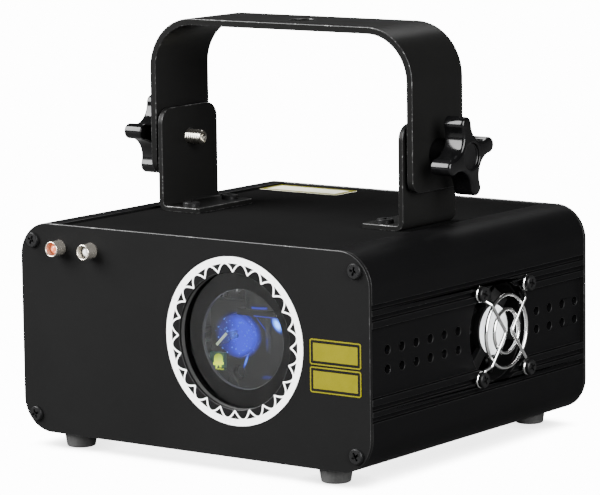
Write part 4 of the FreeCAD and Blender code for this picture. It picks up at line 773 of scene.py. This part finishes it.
def stray_light(place):
    """Painted light: blue light that the beam scatters on the scanner, as an emission colour by place: a soft
    disc on the lying motor's face with a bright core and glinting dust, a burst and streaks on the plate, and
    the shelf's lit edges."""
    x, y, z = [place.along(axis) for axis in "XYZ"]

    def spread(at_x, at_z, half_x, half_z, lean=0.0):
        """How far a point lies from a spot's middle, as a part of the spot's half width; lean slants it."""
        across = (x - at_x * mm - lean * (z - at_z * mm)) / (half_x * mm)
        along = (z - at_z * mm) / (half_z * mm)
        return place.maths("SQRT", across * across + along * along)

    face = y.rise(plate_behind, plate_before)
    mist = noise(place, 170.0, 5.0, 0.62)
    dust = place.node("ShaderNodeTexVoronoi", {}, {"Vector": place, "Scale": 700.0}, "Distance")
    dust = dust.rise(0.34, 0.12) * noise(place, 330.0, 1.0).rise(0.36, 0.52)
    edge = spread(*disc_spot) + 0.22 * (mist - 0.5)
    right = x.rise(disc.x - 6.0 * mm, disc.x + 3.0 * mm)
    glow = face * edge.rise(1.08, 0.66) * (0.20 + 0.75 * right + 0.35 * (mist - 0.5))
    spark = face * edge.rise(1.05, 0.85) * dust * (1.1 - 0.8 * right)
    core = face * spread(*core_spot).rise(1.0, 0.0)
    burst = face * spread(*burst_spot).rise(1.0, 0.1)
    streak = face * spread(*streak_spot).rise(1.0, 0.1)
    slant = face * spread(*slant_spot).rise(1.0, 0.4)
    wedge = face * spread(*wedge_spot).rise(1.0, 0.2) * mist.rise(0.35, 0.65)
    ahead = y.rise(shelf_front + 0.5 * mm, shelf_front + 0.1 * mm) * x.rise(lip_start, lip_end)
    lip = abs(abs(z - lip_middle) - lip_half).rise(0.5 * mm, 0.15 * mm) * ahead
    blue = (glow + spark + 0.8 * core + 2.4 * burst * burst + 1.3 * streak + 0.45 * slant + 0.16 * wedge
            + 0.5 * lip)
    white = 0.5 * spark + 0.45 * core * core + 2.0 * burst * burst * burst + 0.4 * streak * streak
    return place.node("ShaderNodeCombineXYZ", {}, {
        "X": 0.012 * blue + 0.18 * white, "Y": 0.03 * blue + 0.6 * white, "Z": blue + white})


def scanner_metal(name, dark, light, roughness, grain):
    """Metal near the beam: a machined surface with the stray light painted on it as emission."""
    material, shader, place = new_material(name, {"Emission Strength": 1.35, "Specular IOR Level": 0.1})
    tool = noise(stretched(place, grain), 1.0, 3.0)
    place.feed(shader, {"Emission Color": stray_light(place), "Base Color": tool.tint(dark, light),
                        "Roughness": roughness + 0.2 * (tool - 0.5), "Normal": relief(tool, 0.01 * mm)})
    return material


motor_can = scanner_metal("motor_can", (0.0012, 0.0012, 0.0013), (0.0022, 0.0022, 0.0023), 0.45,
                          (700.0, 700.0, 700.0))
rebuilt("scanner_motors", motor_can, 0.3 * mm)
plate_black = scanner_metal("scanner_plate_black", (0.0008, 0.0008, 0.0009), (0.0016, 0.0016, 0.0017), 0.5,
                            (60.0, 900.0, 900.0))
rebuilt("scanner_bracket", plate_black, 0.25 * mm)


# Boards and supply inside: solder-masked boards with moulded packages on brass posts, and a folded supply
# case. A small yellow-green lamp on its own board shows through the window while the projector is on.
solder_mask, mask_shader, place = new_material("solder_mask", {"Specular IOR Level": 0.45})
weave = noise(place, 1300.0, 2.0)
tracks = noise(place, 260.0, 1.0)
raised = tracks.rise(0.5, 0.52) * 0.8 + 0.2 * weave
place.feed(mask_shader, {"Base Color": raised.tint((0.006, 0.045, 0.020), (0.015, 0.085, 0.04)),
                         "Roughness": 0.32 + 0.15 * (weave - 0.5),
                         "Normal": relief(tracks.rise(0.49, 0.53), 0.03 * mm)})
for node in ("control_board", "panel_board"):
    rebuilt(node, solder_mask)
# The lamp board's copy of the mask has a faint teal emission: a painted glow on the board.
lit_mask = solder_mask.copy()
lit_mask.name = "lit_solder_mask"
lit_shader = lit_mask.node_tree.nodes["Principled BSDF"]
lit_shader.inputs["Emission Color"].default_value = (0.10, 0.80, 0.62, 1.0)
lit_shader.inputs["Emission Strength"].default_value = 0.035
rebuilt("lamp_board", lit_mask)
package = moulding("package_moulding", (0.014, 0.014, 0.015), 0.55, 0.0, 900.0, 0.02 * mm)
rebuilt("board_components", package, 0.25 * mm)
case_sheet = plated("supply_case", (0.42, 0.43, 0.44), 1.0, 0.42, 350.0, 0.015 * mm)
rebuilt("power_supply", case_sheet, 0.3 * mm)

lamp_low, lamp_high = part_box("status_lamp")
lamp_foot = Vector(((lamp_low.x + lamp_high.x) / 2 + 0.8 * mm, lamp_high.y - 1.75 * mm,
                    (lamp_low.z + lamp_high.z) / 2 - 1.7 * mm))
flange_radius, lens_radius, nose_start, leg = 1.95, 1.60, 2.5, 0.45
lime_lens, lime_shader, place = new_material("lit_lime_lens", {"Emission Strength": 1.0,
                                                               "Specular IOR Level": 0.5})
height = (place.along("Z") - lamp_foot.z) / ((nose_start + lens_radius) * mm)
cloudy = noise(place, 1400.0, 2.0)
glow = (height + 0.2 * cloudy).rise(1.15, 0.0)
# flare is a painted highlight: a band of lighter base colour low on the lens, near its flange.
flare = (abs(height - 0.22) + 0.15 * (cloudy - 0.5)).rise(0.30, 0.0)
place.feed(lime_shader, {"Emission Color": glow.tint((0.40, 0.58, 0.0), (1.5, 1.9, 0.0)),
                         "Base Color": flare.tint((0.05, 0.06, 0.001), (0.12, 0.13, 0.01)),
                         "Roughness": 0.22 + 0.1 * (cloudy - 0.5)})
profile = [(0.0, 0.0), (flange_radius, 0.0), (flange_radius, 0.6), (1.62, 0.7), (lens_radius, nose_start)]
for angle in map(math.radians, range(10, 91, 10)):
    profile.append((lens_radius * math.cos(angle), nose_start + lens_radius * math.sin(angle)))
shape = bmesh.new()
points = [shape.verts.new((lamp_foot.x + r * mm, lamp_foot.y, lamp_foot.z + z * mm)) for r, z in profile]
lines = [shape.edges.new(pair) for pair in zip(points, points[1:])]
bmesh.ops.spin(shape, geom=points + lines, cent=lamp_foot, axis=(0, 0, 1), angle=2 * math.pi, steps=32)
for side in (-0.9, 0.9):
    for size, offset in (((leg, leg, 2.0), (side, 0.0, -1.0)), ((leg, 2.0, leg), (side, 0.8, -2.0))):
        spot = lamp_foot + mm * Vector(offset)
        box = Matrix.Translation(spot) @ Matrix.Diagonal((*(mm * Vector(size)), 1.0))
        bmesh.ops.create_cube(shape, size=1.0, matrix=box)
bmesh.ops.remove_doubles(shape, verts=shape.verts, dist=0.001 * mm)
bmesh.ops.recalc_face_normals(shape, faces=shape.faces)
piece = made_piece("status_lamp_lens", shape, lime_lens)
piece.data.shade_smooth()
piece.data.set_sharp_from_angle(angle=sharp)
placed(piece, nodes["status_lamp"]["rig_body"], slot_of["status_lamp"], "status_lamp")


# Rear connectors: black mouldings clipped or screwed to the rear panel, with metal contacts in their bores.
# The appliance inlet has three blades, the input socket three pins, and the output's insert three holes.
socket_black = moulding("socket_moulding", (0.013, 0.013, 0.0135), 0.48, 0.0, 420.0, 0.02 * mm)
inlet_back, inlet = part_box("mains_inlet")[1].y, middle_of("mains_inlet")
rebuilt("mains_inlet", socket_black, 0.2 * mm, other=(zinc_plate, lambda p, facing: (
    inlet_back - 16.9 * mm < p.y < inlet_back - 5 * mm
    and abs(p.x - inlet.x) < 9 * mm and abs(p.z - inlet.z) < 4.5 * mm)))
input_back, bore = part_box("signal_input")[1].y, middle_of("signal_input")
rebuilt("signal_input", socket_black, 0.2 * mm, other=(zinc_plate, lambda p, facing: (
    input_back - 12.9 * mm < p.y < input_back - 3 * mm
    and math.hypot(p.x - bore.x, p.z - bore.z) < 7 * mm)))
for node in ("signal_output", "signal_output_insert", "switch_housing"):
    rebuilt(node, socket_black, 0.2 * mm)


# Rear controls: a gloss rocker, a tinted display window with its lit digits, four round buttons and a fluted
# knob, all moulded. The knob turns a plated control behind the panel. White ink marks rocker and knob.
ink_blur = 0.06 * mm


def stroke(place, x, z, half_x, half_z):
    """White ink in an upright bar, by its middle and half sizes."""
    return (abs(place.along("X") - x).rise(half_x + ink_blur, half_x - ink_blur)
            * abs(place.along("Z") - z).rise(half_z + ink_blur, half_z - ink_blur))


def hoop(place, x, z, radius, half):
    """White ink in a round line, by its middle, radius and half width."""
    reach = from_axis(place, (x, 0.0, z), (1.0, 0.0, 1.0))
    return abs(reach - radius).rise(half + ink_blur, half - ink_blur)


def rocker_marks(place):
    middle = middle_of("rocker")
    return (stroke(place, middle.x, middle.z + 4.2 * mm, 0.28 * mm, 1.4 * mm)
            + hoop(place, middle.x, middle.z - 4.0 * mm, 1.3 * mm, 0.24 * mm))


def dial_pointer(place):
    middle = middle_of("sensitivity_knob")
    return stroke(place, middle.x, middle.z + 4.6 * mm, 0.35 * mm, 1.9 * mm)


rocker_gloss = moulding("rocker_gloss_black", (0.006, 0.006, 0.0063), 0.26, 0.2, 220.0, 0.03 * mm, 0.3,
                        rocker_marks)
rebuilt("rocker", rocker_gloss, 0.25 * mm)
for number in range(1, 5):
    rebuilt("menu_button_%d" % number, socket_black)
dial_gloss = moulding("dial_gloss_black", (0.006, 0.006, 0.0063), 0.30, 0.1, 220.0, 0.03 * mm, 0.3,
                      dial_pointer)
rebuilt("sensitivity_knob", dial_gloss, 0.15 * mm)
rebuilt("sensitivity_pot", zinc_plate, 0.15 * mm)
display_tint = moulding("display_tint", (0.012, 0.0012, 0.0012), 0.12, 0.3, 120.0, 0.01 * mm, 0.3)
rebuilt("display_window", display_tint, 0.2 * mm)

lit_red, red_shader, place = new_material("lit_red_segment", {"Emission Strength": 1.6, "Roughness": 0.4})
uneven = noise(place, 900.0, 2.0)
place.feed(red_shader, {"Emission Color": uneven.tint((0.75, 0.03, 0.015), (1.0, 0.06, 0.03)),
                        "Base Color": uneven.tint((0.30, 0.02, 0.01), (0.40, 0.03, 0.02))})
display, display_face = middle_of("display_window"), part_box("display_window")[1].y
digit_step, bar_step, bar_length, bar_width, bar_depth = 8.0 * mm, 1.75 * mm, 2.7, 0.7, 0.05
bars = {"top": (0, 2), "middle": (0, 0), "bottom": (0, -2), "left_up": (-1, 1), "right_up": (1, 1),
        "left_down": (-1, -1), "right_down": (1, -1)}
nought = [bar for bar in bars if bar != "middle"]
shape = bmesh.new()
for number, lit_bars in enumerate((nought, nought, ("right_up", "right_down"))):
    digit_x = display.x + digit_step * (1 - number)
    for column, row in [bars[bar] for bar in lit_bars]:
        size = (bar_width, bar_depth, bar_length) if column else (bar_length, bar_depth, bar_width)
        spot = (digit_x - column * bar_step, display_face + 0.02 * mm, display.z + row * bar_step)
        box = Matrix.Translation(spot) @ Matrix.Diagonal((*(mm * Vector(size)), 1.0))
        bmesh.ops.create_cube(shape, size=1.0, matrix=box)
placed(made_piece("display_digits", shape, lit_red), "chassis", slot_of["display_window"])


# Floor: a plain white sweep under and behind the projector, lit evenly to white as in a product picture.
# It is bright to the camera, with a soft contact shade, and a dull grey to the light that falls on the part.
white_level, sweep_half = 14.0, 8.0
floor_white, floor_shader, place = new_material("floor_white", {"Specular IOR Level": 0.1, "Roughness": 0.8})
patchy = noise(place, 8.0, 2.0)
place.feed(floor_shader, {"Base Color": patchy.tint((0.115, 0.115, 0.115), (0.125, 0.125, 0.125))})
shade = place.node("ShaderNodeAmbientOcclusion", {"samples": 12}, {"Distance": 0.010}, "AO")
shade = shade.rise(0.25, 0.95).tint((0.20, 0.20, 0.20), (1.0, 1.0, 1.0))
lit = place.node("ShaderNodeEmission", {}, {"Color": shade, "Strength": white_level})
camera_ray = place.node("ShaderNodeLightPath", {}, {}, "Is Camera Ray")
dull = Socket(place.tree, floor_shader.outputs[0])
seen = place.node("ShaderNodeMixShader", {}, {0: camera_ray, 1: dull, 2: lit})
place.feed(place.tree.nodes["Material Output"], {"Surface": seen})
shape = bmesh.new()
bmesh.ops.create_grid(shape, x_segments=4, y_segments=4, size=sweep_half)
floor = made_piece("floor", shape, floor_white)
bpy.context.scene.collection.objects.link(floor)


# Light: a room that is white behind the part, dim as a source and dimmer still where the part mirrors it.
# The main soft box stands high in front on the left, one stands on the fan's side and a weak one behind.
world = bpy.data.worlds.new("studio")
bpy.context.scene.world = world
world.use_nodes = True
sky = Socket(world.node_tree)
camera_ray, mirrored = [sky.node("ShaderNodeLightPath", {}, {}, "Is %s Ray" % kind)
                        for kind in ("Camera", "Glossy")]
sky.feed(world.node_tree.nodes["Background"], {
    "Color": (1.0, 1.0, 1.0, 1.0), "Strength": 0.20 + white_level * camera_ray - 0.14 * mirrored})
lit_middle = Vector((0.0, 0.0, 0.08))


def soft_box(name, place, size, power):
    lamp = bpy.data.lights.new(name, "AREA")
    lamp.shape = "RECTANGLE"
    lamp.size = lamp.size_y = size
    lamp.energy = power
    box = bpy.data.objects.new(name, lamp)
    box.location = place
    box.rotation_euler = (lit_middle - Vector(place)).to_track_quat("-Z", "Y").to_euler()
    bpy.context.scene.collection.objects.link(box)


soft_box("main_box", (-1.05, -1.05, 0.95), 1.3, 218.0)
soft_box("side_box", (1.3, -0.5, 0.6), 1.1, 95.0)
soft_box("back_box", (-0.4, 0.95, 1.30), 0.8, 16.0)


# Camera: the photograph's own viewpoint, solved from the corners and holes of the housing.
# Its place is in metres, and across and upward are the picture's own directions.
across = Vector((0.8066772, 0.5908493, -0.0130006))
upward = Vector((-0.0760645, 0.1256144, 0.9891588))
viewpoint = (0.77738, -1.06085, 0.26678)
lens = bpy.data.cameras.new("view")
lens.sensor_fit = "HORIZONTAL"
lens.sensor_width = 36.0
lens.lens = 209.07
lens.clip_start = 0.05
camera = bpy.data.objects.new("view", lens)
axes = Matrix((across, upward, across.cross(upward))).transposed().to_4x4()
camera.matrix_world = Matrix.Translation(viewpoint) @ axes
bpy.context.scene.collection.objects.link(camera)
bpy.context.scene.camera = camera


bpy.context.view_layer.update()
